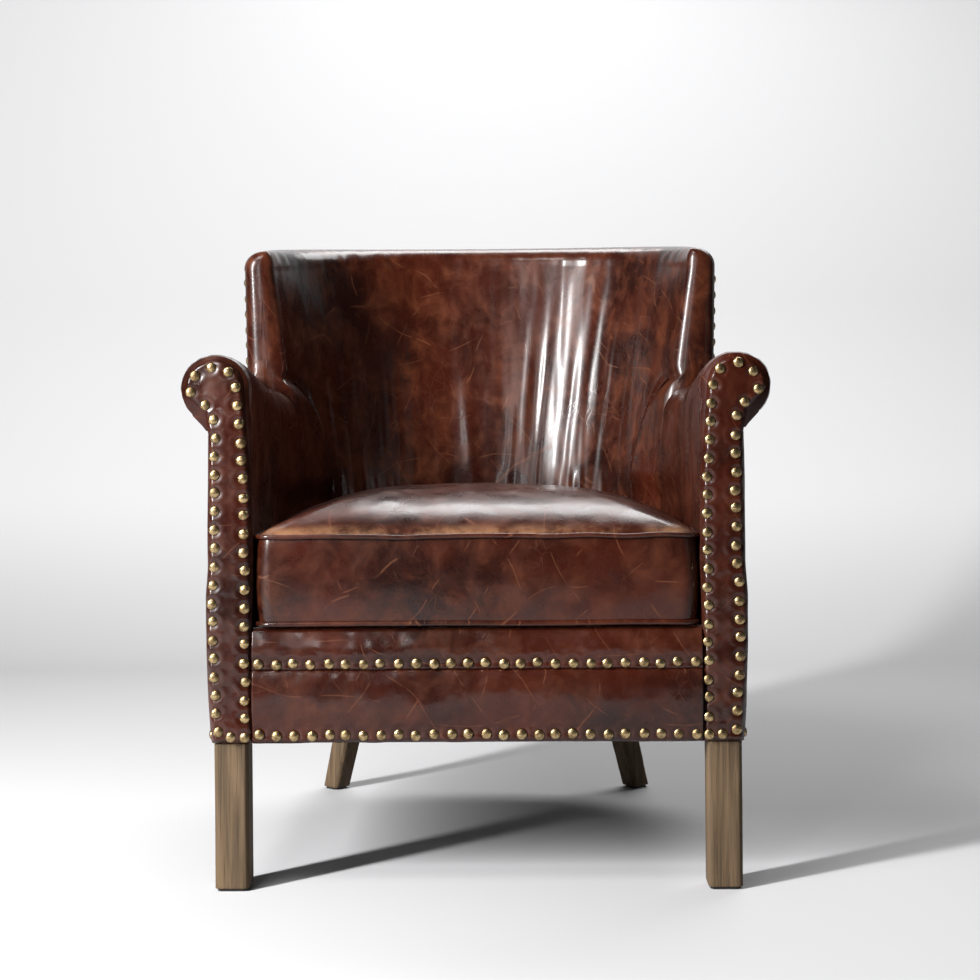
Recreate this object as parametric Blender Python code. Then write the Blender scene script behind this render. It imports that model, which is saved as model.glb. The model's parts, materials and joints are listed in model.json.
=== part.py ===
"""Worn club chair: a low curved wing back, rolled arms, a loose box cushion and brass nail trim.

Metres, +Z up, facing -Y. The upholstered body is laid out in rib coordinates: s runs along the
outer plan curve from the middle of the back (0) to the front, positive on the +X side, d goes in
from that curve at right angles, and z is the height. Y is 0 at the front facings while the parts
are laid out, and the root empty then moves the origin to the middle of the footprint.
"""
import math

import bmesh
import bpy
import numpy as np
from mathutils import Matrix, Vector

# Clearance between pieces that meet, and between the twisted faces of the leaning back
GAP = 0.0003
LEAN_GAP = 0.0006
NOTCH_STEP = 0.0005

# Heights, each one measured from the piece below it
GLIDE_HEIGHT = 0.0030
LEG_HEIGHT = 0.1782
RAIL_HEIGHT = 0.1185
DECK_THICK = 0.0218
ARM_RISE = 0.3345
BACK_RISE = 0.5206
ARM_DROP = 0.0190
NECK_DROP = 0.0935
RIM_FALL = 0.0918
RIM_ROUND = 0.0290
RIM_COVER = 0.0320

# Plan of the body
BODY_HALF = 0.3286
BODY_DEPTH = 0.6550
SIDE_STRAIGHT = 0.3500
BODY_EXPONENT = 2.5
BACK_LEAN = 0.0650
WING_FLARE = 0.0111
LEAN_START_Y = 0.1000
ARM_THICK = 0.0541
BACK_THICK = 0.1100
WING_THICK = 0.0367
RIM_THICK = 0.0900
SEAT_STRAIGHT = 0.2000
RIM_STRAIGHT = 0.3000
INNER_EXPONENT = 2.35
RECEDE_POWER = 1.5
WING_FRONT_Y = 0.3700
NOSE_LENGTH = 0.0125
NOSE_PINCHES = ((0.0, 0.62), (0.0035, 0.26), (0.0075, 0.08))
CORNER_SEAM_IN = 0.0650

# Outer covers: their thickness, and how far they stand out at each height over the bottom edge
COVER = 0.0040
BULGE_HEIGHTS = (0.0, 0.0485, 0.1185, 0.1785, 0.2185, 0.3685)
BULGE_DEPTHS = (0.0030, 0.0, -0.0031, -0.0031, 0.0, 0.0012)

# Rolled arms
ROLL_RADIUS = 0.0420
ROLL_IN = 0.0101
ARM_CROWN = 0.0015
SHOULDER_FRONT = 0.0420
SHOULDER_BACK = 0.0500
SHOULDER_SLOPE = 0.0180
TAIL_LENGTH = 0.1500
TAIL_TIP = 0.0060
TAIL_LAP = 0.0080
TAIL_LOW_FRONT = 0.0015
TAIL_LOW_BACK = 0.0100
TAIL_TOP_BACK = 0.0300
TAIL_POWER = 1.3

# Nailed front facings of the arms
FACING_THICK = 0.0080
FACING_RADIUS = 0.0385
FACING_WAIST = 0.1145
FACING_EDGE_IN = 0.0016
FACING_NECK = 0.0060
CHORD_OUT = 0.0121
CHORD_DOWN = 0.0308
CHORD_INSET_X = 1.2
CHORD_INSET_Z = 0.35

# Front band and border: heights, how far their faces lie back, and their rounded edges
BAND_HEIGHT = 0.0520
BAND_FACE = 0.0005
BAND_ROUND = 0.0120
BORDER_FACE = 0.0015
BORDER_BULGE = 0.0035
BORDER_ROUND = 0.0140
FOLD = 0.0030

# Wooden frame
FRAME_THICK = 0.0250
POST_WIDTH = 0.0450
TOP_RAIL_HEIGHT = 0.0500
BLOCK_DEPTH = 0.0560
BLOCK_LENGTH = 0.0760

# Legs and what holds them
LEG_SIZE = 0.0425
LEG_INSET = 0.0061
LEG_FRONT_Y = 0.0060
LEG_EDGE = 0.0040
REAR_LEG_TOP = 0.0380
REAR_LEG_FOOT = 0.0320
REAR_LEG_IN_X = 0.1366
REAR_LEG_IN_Y = 0.0630
REAR_LEG_RAKE_X = 0.0410
REAR_LEG_RAKE_Y = 0.0310
REAR_LEG_TURN = math.radians(43.0)
GLIDE_INSET = 0.0030
BOLT_RADIUS = 0.0040
BOLT_LENGTH = 0.0800

# Webbing
WEB_WIDTH = 0.0500
WEB_THICK = 0.0014
WEB_END = 0.0060
WEB_EASE = 0.0030
CROSS_WEB_SHORT = 0.0040
LONG_WEB_SHORT = 0.0120
CROSS_WEB_Y = (0.0950, 0.1950, 0.2950, 0.4700)
LONG_WEB_X = (-0.1600, 0.0, 0.1600)
BACK_WEB_S = (-0.0850, 0.0850)
BACK_WEB_LAP = 0.0380

# Loose cushion
CUSHION_CLEAR = 0.0055
CUSHION_SIDE = 0.1107
CUSHION_CROWN = 0.0570
CUSHION_CORNER = 0.0220
CUSHION_CENTRE = 0.46
CUSHION_UNDERCUT = 0.0100
CROWN_POWER = 2.2
WELT_RADIUS = 0.0030
WELT_SINK = 0.0005

# Dust cover
DUST_THICK = 0.0008
DUST_INSET = 0.0120
DUST_LEG_CLEAR = 0.0005
DUST_CUTTER = 0.0100

# Brass nails
NAIL_RADIUS = 0.0058
NAIL_CROWN = 0.0032
NAIL_HEIGHT = 0.0030
NAIL_SINK = 0.0008
NAIL_PITCH = 0.0225
NAIL_INSET = 0.0085
NAIL_SIDES = 6

# Least distance between two stations or levels, and how far a depth is looked for
STATION_STEP = 0.0020
LEVEL_STEP = 0.0200
DEPTH_RANGE = (-0.12, 0.20)

# Shares of the height at which the back's hollow side is laid out
NOTCH_SHARES = (0.0, 0.35, 0.70, 1.0)
PINCH_START = 0.0100
PINCH_RISE = 0.0300

# Steps of the plan curve and of the round sections
CURVE_STEPS = 13
STRAIGHT_STEPS = 7
HOLE_SIDES = 8
LEAN_STEP = 0.0950

# Worked-out heights
LEG_TOP = GLIDE_HEIGHT + GAP + LEG_HEIGHT
BODY_BOTTOM = LEG_TOP + GAP
RAIL_TOP = BODY_BOTTOM + RAIL_HEIGHT
WEB_LOW = RAIL_TOP + GAP + WEB_THICK / 2
WEB_HIGH = WEB_LOW + WEB_THICK + GAP
DECK_BOTTOM = WEB_HIGH + WEB_THICK / 2 + GAP
DECK_TOP = RAIL_TOP + DECK_THICK
PAD_BOTTOM = DECK_TOP + GAP
ARM_TOP = DECK_TOP + ARM_RISE
NECK = ARM_TOP - NECK_DROP
BACK_TOP = DECK_TOP + BACK_RISE

# Worked-out depths, measured in from the outer face
FRAME_OUT = COVER + LEAN_GAP
FRAME_IN = FRAME_OUT + FRAME_THICK
WEB_OUT = FRAME_IN + LEAN_GAP
PAD_OUT = WEB_OUT + WEB_THICK + LEAN_GAP
FRONT_Y = FACING_THICK + GAP
SEAT_HALF = BODY_HALF - ARM_THICK

MATERIALS = {
    "leather": ((0.155, 0.040, 0.024), 0.36, 0.0),
    "leather_dark": ((0.105, 0.030, 0.020), 0.42, 0.0),
    "oak": ((0.300, 0.235, 0.170), 0.62, 0.0),
    "beech": ((0.560, 0.400, 0.240), 0.60, 0.0),
    "webbing": ((0.430, 0.330, 0.200), 0.90, 0.0),
    "felt": ((0.480, 0.450, 0.400), 0.95, 0.0),
    "dust_cloth": ((0.030, 0.030, 0.032), 0.95, 0.0),
    "steel": ((0.550, 0.550, 0.560), 0.35, 1.0),
    "plastic": ((0.045, 0.040, 0.038), 0.55, 0.0),
}


def clear_scene():
    """Remove whatever the open file holds."""
    for obj in list(bpy.data.objects):
        bpy.data.objects.remove(obj, do_unlink=True)


def make_materials():
    """One Principled material for each finish."""
    made = {}
    for name, (colour, roughness, metallic) in MATERIALS.items():
        material = bpy.data.materials.new(name)
        material.use_nodes = True
        shader = material.node_tree.nodes["Principled BSDF"]
        shader.inputs["Base Color"].default_value = (*colour, 1.0)
        shader.inputs["Roughness"].default_value = roughness
        shader.inputs["Metallic"].default_value = metallic
        material.diffuse_color = (*colour, 1.0)
        made[name] = material
    return made


def smooth(t):
    """Smooth step from 0 to 1."""
    t = min(max(t, 0.0), 1.0)
    return t * t * (3.0 - 2.0 * t)


def mix(a, b, t):
    """Value between a and b."""
    return a + (b - a) * t


# Plan curve and ribs


def inside_plan(x, y, half, straight, depth, exponent):
    """True within a plan with straight sides and a superellipse behind them."""
    if y <= straight:
        return x < half
    return (max(x, 0.0) / half) ** exponent + ((y - straight) / (depth - straight)) ** exponent < 1.0


def depth_to(point, inward, plan):
    """Depth at which the rib from point crosses another plan curve."""
    low, high = DEPTH_RANGE
    for _ in range(40):
        middle = (low + high) / 2
        x, y = point[0] + inward[0] * middle, point[1] + inward[1] * middle
        if inside_plan(x, y, *plan):
            high = middle
        else:
            low = middle
    return (low + high) / 2


def plan_knots():
    """Knots of the outer plan curve on the +X side: s, x, y, inward normal and three depths."""
    reach = BODY_DEPTH - SIDE_STRAIGHT
    power = 2.0 / BODY_EXPONENT
    points = []
    for step in range(CURVE_STEPS + 1):
        angle = (1.0 - step / CURVE_STEPS) * math.pi / 2
        across = max(math.cos(angle), 0.0) ** power
        along = max(math.sin(angle), 0.0) ** power
        out = Vector((across ** (BODY_EXPONENT - 1) / BODY_HALF, along ** (BODY_EXPONENT - 1) / reach))
        out.normalize()
        points.append((BODY_HALF * across, SIDE_STRAIGHT + reach * along, -out.x, -out.y))
    for step in range(1, STRAIGHT_STEPS + 1):
        points.append((BODY_HALF, SIDE_STRAIGHT * (1.0 - step / STRAIGHT_STEPS), -1.0, 0.0))
    seat = (SEAT_HALF, SEAT_STRAIGHT, BODY_DEPTH - BACK_THICK, INNER_EXPONENT)
    top_half, top_depth = BODY_HALF + WING_FLARE, BODY_DEPTH + BACK_LEAN
    rim = (top_half - WING_THICK, RIM_STRAIGHT, top_depth - RIM_THICK, INNER_EXPONENT)
    top = (top_half, SIDE_STRAIGHT, top_depth, BODY_EXPONENT)
    rows, s, last = [], 0.0, points[0]
    for point in points:
        s += math.hypot(point[0] - last[0], point[1] - last[1])
        last = point
        depths = [depth_to(point[:2], point[2:], plan) for plan in (seat, rim, top)]
        rows.append((s, *point, *depths))
    return np.array(rows).T


KNOTS = plan_knots()


def rib(s):
    """Values of one rib: x, y, inward normal, then the depths of seat, rim and leaning top."""
    return [float(np.interp(abs(s), KNOTS[0], row)) for row in KNOTS[1:]]


def s_at(y):
    """Distance along the plan curve where it reaches the given y, on the +X side."""
    return float(np.interp(-y, -KNOTS[2], KNOTS[0]))


def place(s, d, z):
    """Point at rib coordinates."""
    x, y, in_x, in_y = rib(s)[:4]
    side = -1.0 if s < 0 else 1.0
    return Vector((side * (x + in_x * d), y + in_y * d, z))


def ring_at(s, section):
    """Points of a section at s, on the flat facets between the two knots beside it."""
    side = -1.0 if s < 0 else 1.0
    after = min(max(int(np.searchsorted(KNOTS[0], abs(s))), 1), len(KNOTS[0]) - 1)
    low, high = KNOTS[0][after - 1], KNOTS[0][after]
    t = (abs(s) - low) / (high - low)
    ends = []
    for knot in (side * max(low, 1e-9), side * high):
        ends.append([place(knot, d, z) for d, z in section(knot)])
    return [first.lerp(second, t) for first, second in zip(*ends)]


def rim_top(s):
    """Height of the back's top edge, which falls towards the front."""
    return BACK_TOP - RIM_FALL * (BODY_DEPTH - rib(s)[1])


def outer(s, z):
    """Depth of the frame's covered outer face, negative where the back leans out."""
    values = rib(s)
    fade = smooth((values[1] - LEAN_START_Y) / (WING_FRONT_Y - LEAN_START_Y))
    rise = (z - BODY_BOTTOM) / (rim_top(s) - BODY_BOTTOM)
    return values[6] * fade * max(rise, 0.0)


def inner(s, z):
    """Depth of the back's inner face, which recedes towards the top."""
    values = rib(s)
    rise = max((z - DECK_TOP) / (rim_top(s) - DECK_TOP), 0.0)
    return mix(values[4], values[5], rise ** RECEDE_POWER)


def bulge(z):
    """How far the outer cover's face lies in from the frame line at a height."""
    return float(np.interp(z - BODY_BOTTOM, BULGE_HEIGHTS, BULGE_DEPTHS))


S_WING = s_at(WING_FRONT_Y)
S_STILE = S_WING - NOSE_LENGTH - GAP
S_SEAM = s_at(BODY_DEPTH - CORNER_SEAM_IN)


def stations(start, end):
    """The two ends and every knot between them, in order along s."""
    every = np.concatenate((-KNOTS[0][:0:-1], KNOTS[0]))
    low, high = min(start, end), max(start, end)
    between = [float(s) for s in every if low + STATION_STEP < s < high - STATION_STEP]
    found = [low, *between, high]
    return found if start < end else found[::-1]


def bend_stations(start, end, straight_y=None):
    """Stations without the knots between straight_y and the front, for flat plans."""
    limit = s_at(SIDE_STRAIGHT if straight_y is None else straight_y)
    every = stations(start, end)
    return [s for s in every if abs(s) < limit + STATION_STEP / 2 or s in (every[0], every[-1])]


def levels_between(low, high):
    """Heights from low to high with the shared levels of the leaning faces between them."""
    first = math.ceil((low - BODY_BOTTOM) / LEAN_STEP - 0.5)
    shared = [BODY_BOTTOM + (first + i) * LEAN_STEP for i in range(12)]
    return [low] + [z for z in shared if low + LEVEL_STEP < z < high - LEVEL_STEP] + [high]


# Mesh helpers


def loft(rings):
    """Closed body through rings of points, with a flat cap at each end."""
    body = bmesh.new()
    made = [[body.verts.new(point) for point in ring] for ring in rings]
    for first, second in zip(made, made[1:]):
        for i in range(len(first)):
            j = (i + 1) % len(first)
            body.faces.new((first[i], first[j], second[j], second[i]))
    bmesh.ops.triangulate(body, faces=body.faces[:])
    body.faces.new(made[0][::-1])
    body.faces.new(made[-1])
    bmesh.ops.recalc_face_normals(body, faces=body.faces)
    return body


def rib_loft(places, section):
    """Loft through rib sections, each a list of (d, z) given by the section function."""
    return loft([ring_at(s, section) for s in places])


def prism(outline, low, high):
    """Upright prism on an outline of (x, y)."""
    return loft([[Vector((x, y, z)) for x, y in outline] for z in (low, high)])


def block(low, high):
    """Box between two corners."""
    outline = ((low[0], low[1]), (high[0], low[1]), (high[0], high[1]), (low[0], high[1]))
    return prism(outline, low[2], high[2])


def rod(centre, along, radius, length, sides=HOLE_SIDES):
    """Closed cylinder round a centre, with its axis along a direction."""
    body = bmesh.new()
    turn = along.to_track_quat("Z", "Y").to_matrix().to_4x4()
    bmesh.ops.create_cone(body, cap_ends=True, segments=sides, radius1=radius, radius2=radius,
                          depth=length, matrix=Matrix.Translation(centre) @ turn)
    return body


def add(name, body, material):
    """Object under the root, from a bmesh body."""
    mesh = bpy.data.meshes.new(name)
    body.to_mesh(mesh)
    body.free()
    mesh.materials.append(FINISHES[material])
    obj = bpy.data.objects.new(name, mesh)
    bpy.context.scene.collection.objects.link(obj)
    obj.parent = ROOT
    return obj


def combine(obj, body, operation):
    """Apply an exact Boolean with another body to an object's mesh."""
    mesh = bpy.data.meshes.new("tool")
    body.to_mesh(mesh)
    body.free()
    tool = bpy.data.objects.new("tool", mesh)
    bpy.context.scene.collection.objects.link(tool)
    tool.parent = ROOT
    modifier = obj.modifiers.new(operation.title(), "BOOLEAN")
    modifier.operation = operation
    modifier.solver = "EXACT"
    modifier.object = tool
    bpy.context.view_layer.update()
    result = bpy.data.meshes.new_from_object(obj.evaluated_get(bpy.context.evaluated_depsgraph_get()))
    obj.modifiers.clear()
    obj.data = result
    result.name = obj.name
    bpy.data.objects.remove(tool, do_unlink=True)


# Nails


def spaced(path, pitch):
    """Points at an even spacing along a path, ends included, as near the pitch as fits."""
    points = np.array([tuple(point) for point in path], dtype=float)
    steps = np.linalg.norm(np.diff(points, axis=0), axis=1)
    run = np.concatenate(((0.0,), np.cumsum(steps)))
    count = max(int(round(run[-1] / pitch)), 1)
    wanted = np.linspace(0.0, run[-1], count + 1)
    return [tuple(float(np.interp(w, run, column)) for column in points.T) for w in wanted]


def nail_heads(seats):
    """One body of low domed heads, each at a point with its outward direction."""
    body = bmesh.new()
    for point, out in seats:
        turn = out.to_track_quat("Z", "Y").to_matrix().to_4x4()
        lift = Matrix.Translation((0.0, 0.0, (NAIL_HEIGHT - NAIL_SINK) / 2))
        bmesh.ops.create_cone(body, cap_ends=True, segments=NAIL_SIDES, radius1=NAIL_RADIUS,
                              radius2=NAIL_CROWN, depth=NAIL_HEIGHT + NAIL_SINK,
                              matrix=Matrix.Translation(point) @ turn @ lift)
    bmesh.ops.recalc_face_normals(body, faces=body.faces)
    return body


def cover_seats(spots):
    """Nail seats on an outer cover, from (s, z) spots."""
    seats = []
    for s, z in spots:
        in_x, in_y = rib(s)[2:4]
        side = -1.0 if s < 0 else 1.0
        point = ring_at(s, lambda at: [(outer(at, z) + bulge(z), z)])[0]
        seats.append((point, Vector((-side * in_x, -in_y, 0.0))))
    return seats


# Legs, glides, corner blocks and bolts


def leg_axis(side, rear):
    """Centre of a leg's top and of its foot."""
    if rear:
        top = Vector((side * (BODY_HALF - REAR_LEG_IN_X), BODY_DEPTH - REAR_LEG_IN_Y, LEG_TOP))
        foot = top + Vector((side * REAR_LEG_RAKE_X, REAR_LEG_RAKE_Y, -LEG_HEIGHT))
        return top, foot
    x = side * (BODY_HALF - LEG_INSET - LEG_SIZE / 2)
    top = Vector((x, LEG_FRONT_Y + LEG_SIZE / 2, LEG_TOP))
    return top, top - Vector((0.0, 0.0, LEG_HEIGHT))


def leg_ring(side, rear, z, grow=0.0):
    """Square with chamfered corners round the leg's axis at one height."""
    top, foot = leg_axis(side, rear)
    t = (top.z - z) / LEG_HEIGHT
    centre = top.lerp(foot, t)
    size = mix(REAR_LEG_TOP, REAR_LEG_FOOT, t) if rear else LEG_SIZE
    half, edge = size / 2 + grow, LEG_EDGE
    turn = Matrix.Rotation(side * REAR_LEG_TURN if rear else 0.0, 2)
    ring = []
    for x, y in ((1, 1), (-1, 1), (-1, -1), (1, -1)):
        ends = [Vector((x * half, y * (half - edge))), Vector((x * (half - edge), y * half))]
        for corner in ends if x * y > 0 else ends[::-1]:
            corner = turn @ corner
            ring.append(Vector((centre.x + corner.x, centre.y + corner.y, z)))
    return ring


def make_leg(side, rear):
    """A leg with its glide, its corner block over it, and the hanger bolt that joins them."""
    end = ("rear" if rear else "front") + ("_right" if side > 0 else "_left")
    top, foot = leg_axis(side, rear)
    along = (top - foot).normalized()
    hole = {"radius": BOLT_RADIUS + GAP, "length": BOLT_LENGTH + 2 * GAP}
    leg = add(f"leg_{end}", loft([leg_ring(side, rear, foot.z), leg_ring(side, rear, top.z)]), "oak")
    combine(leg, rod(top, along, **hole), "DIFFERENCE")
    glide = loft([leg_ring(side, rear, z, -GLIDE_INSET) for z in (0.0, GLIDE_HEIGHT)])
    add(f"glide_{end}", glide, "plastic")
    if rear:
        middle = side * s_at_point(top)
        ends = (middle - side * BLOCK_LENGTH / 2, middle + side * BLOCK_LENGTH / 2)
        body = rib_loft(stations(*ends), rail_section(BLOCK_DEPTH))
    else:
        reach = side * (BODY_HALF - FRAME_OUT)
        low = Vector((reach, FRONT_Y, BODY_BOTTOM))
        body = block(low, low + Vector((-side * POST_WIDTH, POST_WIDTH, RAIL_HEIGHT)))
    corner = add(f"corner_block_{end}", body, "beech")
    combine(corner, rod(top, along, **hole), "DIFFERENCE")
    add(f"hanger_bolt_{end}", rod(top, along, BOLT_RADIUS, BOLT_LENGTH), "steel")


def s_at_point(point):
    """Rib that passes nearest to a point on the +X side."""
    tries = np.linspace(0.0, S_WING, 400)
    gaps = []
    for s in tries:
        x, y, in_x, in_y = rib(s)[:4]
        gaps.append(abs((abs(point.x) - x) * in_y - (point.y - y) * in_x))
    return float(tries[int(np.argmin(gaps))])


# Frame


def rail_section(thick):
    """Section of a seat rail or rear block of a given thickness."""
    def section(s):
        levels = (BODY_BOTTOM, RAIL_TOP)
        outside = [(outer(s, z) + FRAME_OUT, z) for z in levels]
        inside = [(outer(s, z) + FRAME_OUT + thick, z) for z in reversed(levels)]
        return outside + inside
    return section


def board_section(low, high):
    """Section of a frame board between two heights, which may change along s."""
    def section(s):
        shares = np.linspace(0.0, 1.0, len(levels_between(low(S_SEAM), high(S_SEAM))))
        levels = [mix(low(s), high(s), share) for share in shares]
        outside = [(outer(s, z) + FRAME_OUT, z) for z in levels]
        inside = [(outer(s, z) + FRAME_IN, z) for z in levels[::-1]]
        return outside + inside
    return section


def top_rail_low(s):
    """Lower edge of the back's top rail."""
    return rim_top(s) - RIM_COVER - NOTCH_STEP - GAP - TOP_RAIL_HEIGHT


def make_frame():
    """Seat rails, arm posts, arm rails, back stiles and the curved top rail."""
    inner_post = BODY_HALF - FRAME_OUT - POST_WIDTH - GAP
    front = block((-inner_post, FRONT_Y, BODY_BOTTOM), (inner_post, FRONT_Y + FRAME_THICK, RAIL_TOP))
    add("seat_rail_front", front, "beech")
    rear_top = leg_axis(1, True)[0]
    rear_s = s_at_point(rear_top)
    side_end = rear_s + BLOCK_LENGTH / 2 + GAP
    rear_end = rear_s - BLOCK_LENGTH / 2 - GAP
    add("seat_rail_rear", rib_loft(stations(-rear_end, rear_end), rail_section(FRAME_THICK)), "beech")
    side_start = s_at(FRONT_Y + POST_WIDTH + GAP)
    post_section = board_section(lambda s: RAIL_TOP + GAP, lambda s: NECK - GAP - TOP_RAIL_HEIGHT - GAP)
    arm_rail = board_section(lambda s: NECK - GAP - TOP_RAIL_HEIGHT, lambda s: NECK - GAP)
    stile = board_section(lambda s: RAIL_TOP + GAP, lambda s: top_rail_low(s) - GAP)
    top_rail = board_section(top_rail_low, lambda s: top_rail_low(s) + TOP_RAIL_HEIGHT)
    for side, label in ((1, "right"), (-1, "left")):
        rails = stations(side * side_end, side * side_start)
        add(f"seat_rail_{label}", rib_loft(rails, rail_section(FRAME_THICK)), "beech")
        ends = stations(side * s_at(FRONT_Y + POST_WIDTH), side * s_at(FRONT_Y))
        add(f"arm_post_{label}", rib_loft(ends, post_section), "beech")
        ends = stations(side * (S_STILE + GAP), side * s_at(FRONT_Y))
        add(f"arm_rail_{label}", rib_loft(ends, arm_rail), "beech")
        ends = stations(side * (S_STILE - POST_WIDTH), side * S_STILE)
        add(f"wing_stile_{label}", rib_loft(ends, stile), "beech")
        ends = stations(side * (S_SEAM - POST_WIDTH / 2), side * (S_SEAM + POST_WIDTH / 2))
        add(f"back_stile_{label}", rib_loft(ends, stile), "beech")
    add("back_top_rail", rib_loft(stations(-S_STILE, S_STILE), top_rail), "beech")


# Webbing


def strap(points, across):
    """Flat strap along a path, with its width across it."""
    rings = []
    for point in points:
        centre = Vector(point)
        up, wide = Vector((0.0, 0.0, WEB_THICK / 2)), Vector(across) * WEB_WIDTH / 2
        rings.append([centre - wide - up, centre + wide - up, centre + wide + up, centre - wide + up])
    return loft(rings)


def weave(ends, crossings, first_high):
    """Distances and heights along a strap that goes over and under at its crossings."""
    lap = WEB_WIDTH / 2 + WEB_EASE
    heights = [(ends[0], WEB_LOW)]
    for index, at in enumerate(crossings):
        z = WEB_HIGH if (index + first_high) % 2 else WEB_LOW
        heights += [(at - lap, z), (at + lap, z)]
    return heights + [(ends[1], WEB_LOW)]


def make_webbing():
    """Woven straps under the seat, and upright ones behind the back pad."""
    inset = FRAME_OUT + WEB_END
    for number, y in enumerate(CROSS_WEB_Y):
        reach = place(s_at(y), inset + CROSS_WEB_SHORT, 0.0).x
        run = weave((-reach, reach), LONG_WEB_X, number % 2)
        body = strap([(x, y, z) for x, z in run], (0.0, 1.0, 0.0))
        add(f"seat_web_cross_{number + 1}", body, "webbing")
    for number, x in enumerate(LONG_WEB_X):
        near = float(np.interp(abs(x), KNOTS[1], KNOTS[0]))
        reach = place(near, inset + LONG_WEB_SHORT, 0.0).y
        run = weave((FRONT_Y + WEB_END, reach), CROSS_WEB_Y, (number + 1) % 2)
        body = strap([(x, y, z) for y, z in run], (1.0, 0.0, 0.0))
        add(f"seat_web_long_{number + 1}", body, "webbing")

    def section(s):
        top = top_rail_low(s)
        levels = (RAIL_TOP - BACK_WEB_LAP, mix(RAIL_TOP, top, 0.5), top + BACK_WEB_LAP)
        outside = [(outer(s, z) + WEB_OUT, z) for z in levels]
        inside = [(outer(s, z) + WEB_OUT + WEB_THICK, z) for z in reversed(levels)]
        return outside + inside

    for number, s in enumerate(BACK_WEB_S):
        ends = stations(s - WEB_WIDTH / 2, s + WEB_WIDTH / 2)
        add(f"back_web_{number + 1}", rib_loft(ends, section), "webbing")


# Upholstered arms


def arm_face(s, z):
    """Depth of the arm's inner face, upright in front and flush with the back behind."""
    share = smooth((rib(s)[1] - SEAT_STRAIGHT) / (WING_FRONT_Y - SEAT_STRAIGHT))
    return mix(ARM_THICK, inner(s, z), share)


def arm_share(s):
    """0 at the front of the arm and 1 where it meets the wing."""
    return smooth(rib(s)[1] / WING_FRONT_Y)


def arm_section(s):
    """Closed section of the arm pad: inner face, shoulder, roll, neck and the frame's notch."""
    share = arm_share(s)
    top = ARM_TOP - ARM_DROP * share
    roll_d = ROLL_IN + outer(s, top)
    shoulder_top = top - SHOULDER_SLOPE * share
    shoulder = mix(SHOULDER_FRONT, SHOULDER_BACK, share)
    low = shoulder_top - shoulder
    middle = mix(PAD_BOTTOM, low, 0.5)
    points = [(arm_face(s, PAD_BOTTOM), PAD_BOTTOM), (arm_face(s, middle) + ARM_CROWN, middle),
              (arm_face(s, low), low)]
    edge = arm_face(s, low)
    for angle in (25, 50, 72, 90):
        turn = math.radians(angle)
        points.append((edge - SHOULDER_FRONT * (1 - math.cos(turn)), low + shoulder * math.sin(turn)))
    for angle in (90, 62, 34, 6, -22, -48):
        turn = math.radians(angle)
        z = top - ROLL_RADIUS + ROLL_RADIUS * math.sin(turn)
        points.append((roll_d - ROLL_RADIUS * math.cos(turn), z))
    points.append((outer(s, NECK), NECK))
    points.append((outer(s, NECK) + PAD_OUT, NECK))
    points.append((outer(s, PAD_BOTTOM) + PAD_OUT, PAD_BOTTOM))
    return points


def tail_section(s):
    """Section of the roll where it dies away along the outside of the wing."""
    t = (S_WING - abs(s)) / TAIL_LENGTH
    share = min(max(t, 0.0), 1.0)
    top = mix(ARM_TOP - ARM_DROP, NECK + TAIL_TOP_BACK, share) - TAIL_LOW_FRONT
    low = NECK + mix(TAIL_LOW_FRONT, TAIL_LOW_BACK, share)
    size = mix(ROLL_RADIUS - ROLL_IN - TAIL_LOW_FRONT, TAIL_TIP, share ** TAIL_POWER)
    heights = np.linspace(low, top, 4)
    points = [(outer(s, z) - 2 * GAP + min(bulge(z), 0.0), z) for z in heights]
    for angle in (150, 115, 80, 45, 20):
        turn = math.radians(angle)
        z = (low + top) / 2 + (top - low) / 2 * -math.cos(turn)
        points.append((outer(s, z) - 2 * GAP - size * math.sin(turn), z))
    return points


def make_arms():
    """Arm pads with their rolls, and the nailed facings on their fronts."""
    for side, label in ((1, "right"), (-1, "left")):
        run = stations(side * (S_WING + GAP), side * s_at(FRONT_Y))
        arm = add(f"arm_pad_{label}", rib_loft(run, arm_section), "leather")
        run = stations(side * (S_WING - TAIL_LENGTH), side * (S_WING + TAIL_LAP))
        combine(arm, rib_loft(run, tail_section), "UNION")
        add_facing(side, label)


def facing_outline(inset):
    """Outline of a facing on the +X side in (x, z), from the bottom inside over the scroll."""
    centre_x, centre_z = BODY_HALF - ROLL_IN, ARM_TOP - ROLL_RADIUS
    radius = FACING_RADIUS - inset
    inside = SEAT_HALF + inset
    points = [(inside, BODY_BOTTOM + inset), (inside, centre_z - FACING_WAIST)]
    for angle in (180, 152, 124, 96, 68, 40, 14, -10):
        turn = math.radians(angle)
        points.append((centre_x + radius * math.cos(turn), centre_z + radius * math.sin(turn)))
    points.append((centre_x + CHORD_OUT - CHORD_INSET_X * inset,
                   centre_z - CHORD_DOWN + CHORD_INSET_Z * inset))
    for z in (NECK - FACING_NECK, BODY_BOTTOM + BULGE_HEIGHTS[4], BODY_BOTTOM + BULGE_HEIGHTS[3],
              BODY_BOTTOM + BULGE_HEIGHTS[2], BODY_BOTTOM + BULGE_HEIGHTS[1], BODY_BOTTOM + inset):
        points.append((BODY_HALF - bulge(z) - FACING_EDGE_IN - inset, z))
    return points


def add_facing(side, label):
    """One facing with its nails all round."""
    outline = facing_outline(0.0)
    body = loft([[Vector((side * x, y, z)) for x, z in outline] for y in (0.0, FACING_THICK)])
    facing = add(f"arm_facing_{label}", body, "leather")
    path = facing_outline(NAIL_INSET)
    spots = spaced([*path, ((path[0][0] + path[-1][0]) / 2, path[0][1])], NAIL_PITCH)
    seats = [(Vector((side * x, 0.0, z)), Vector((0.0, -1.0, 0.0))) for x, z in spots]
    combine(facing, nail_heads(seats), "UNION")


# Upholstered back with its wings


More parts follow.
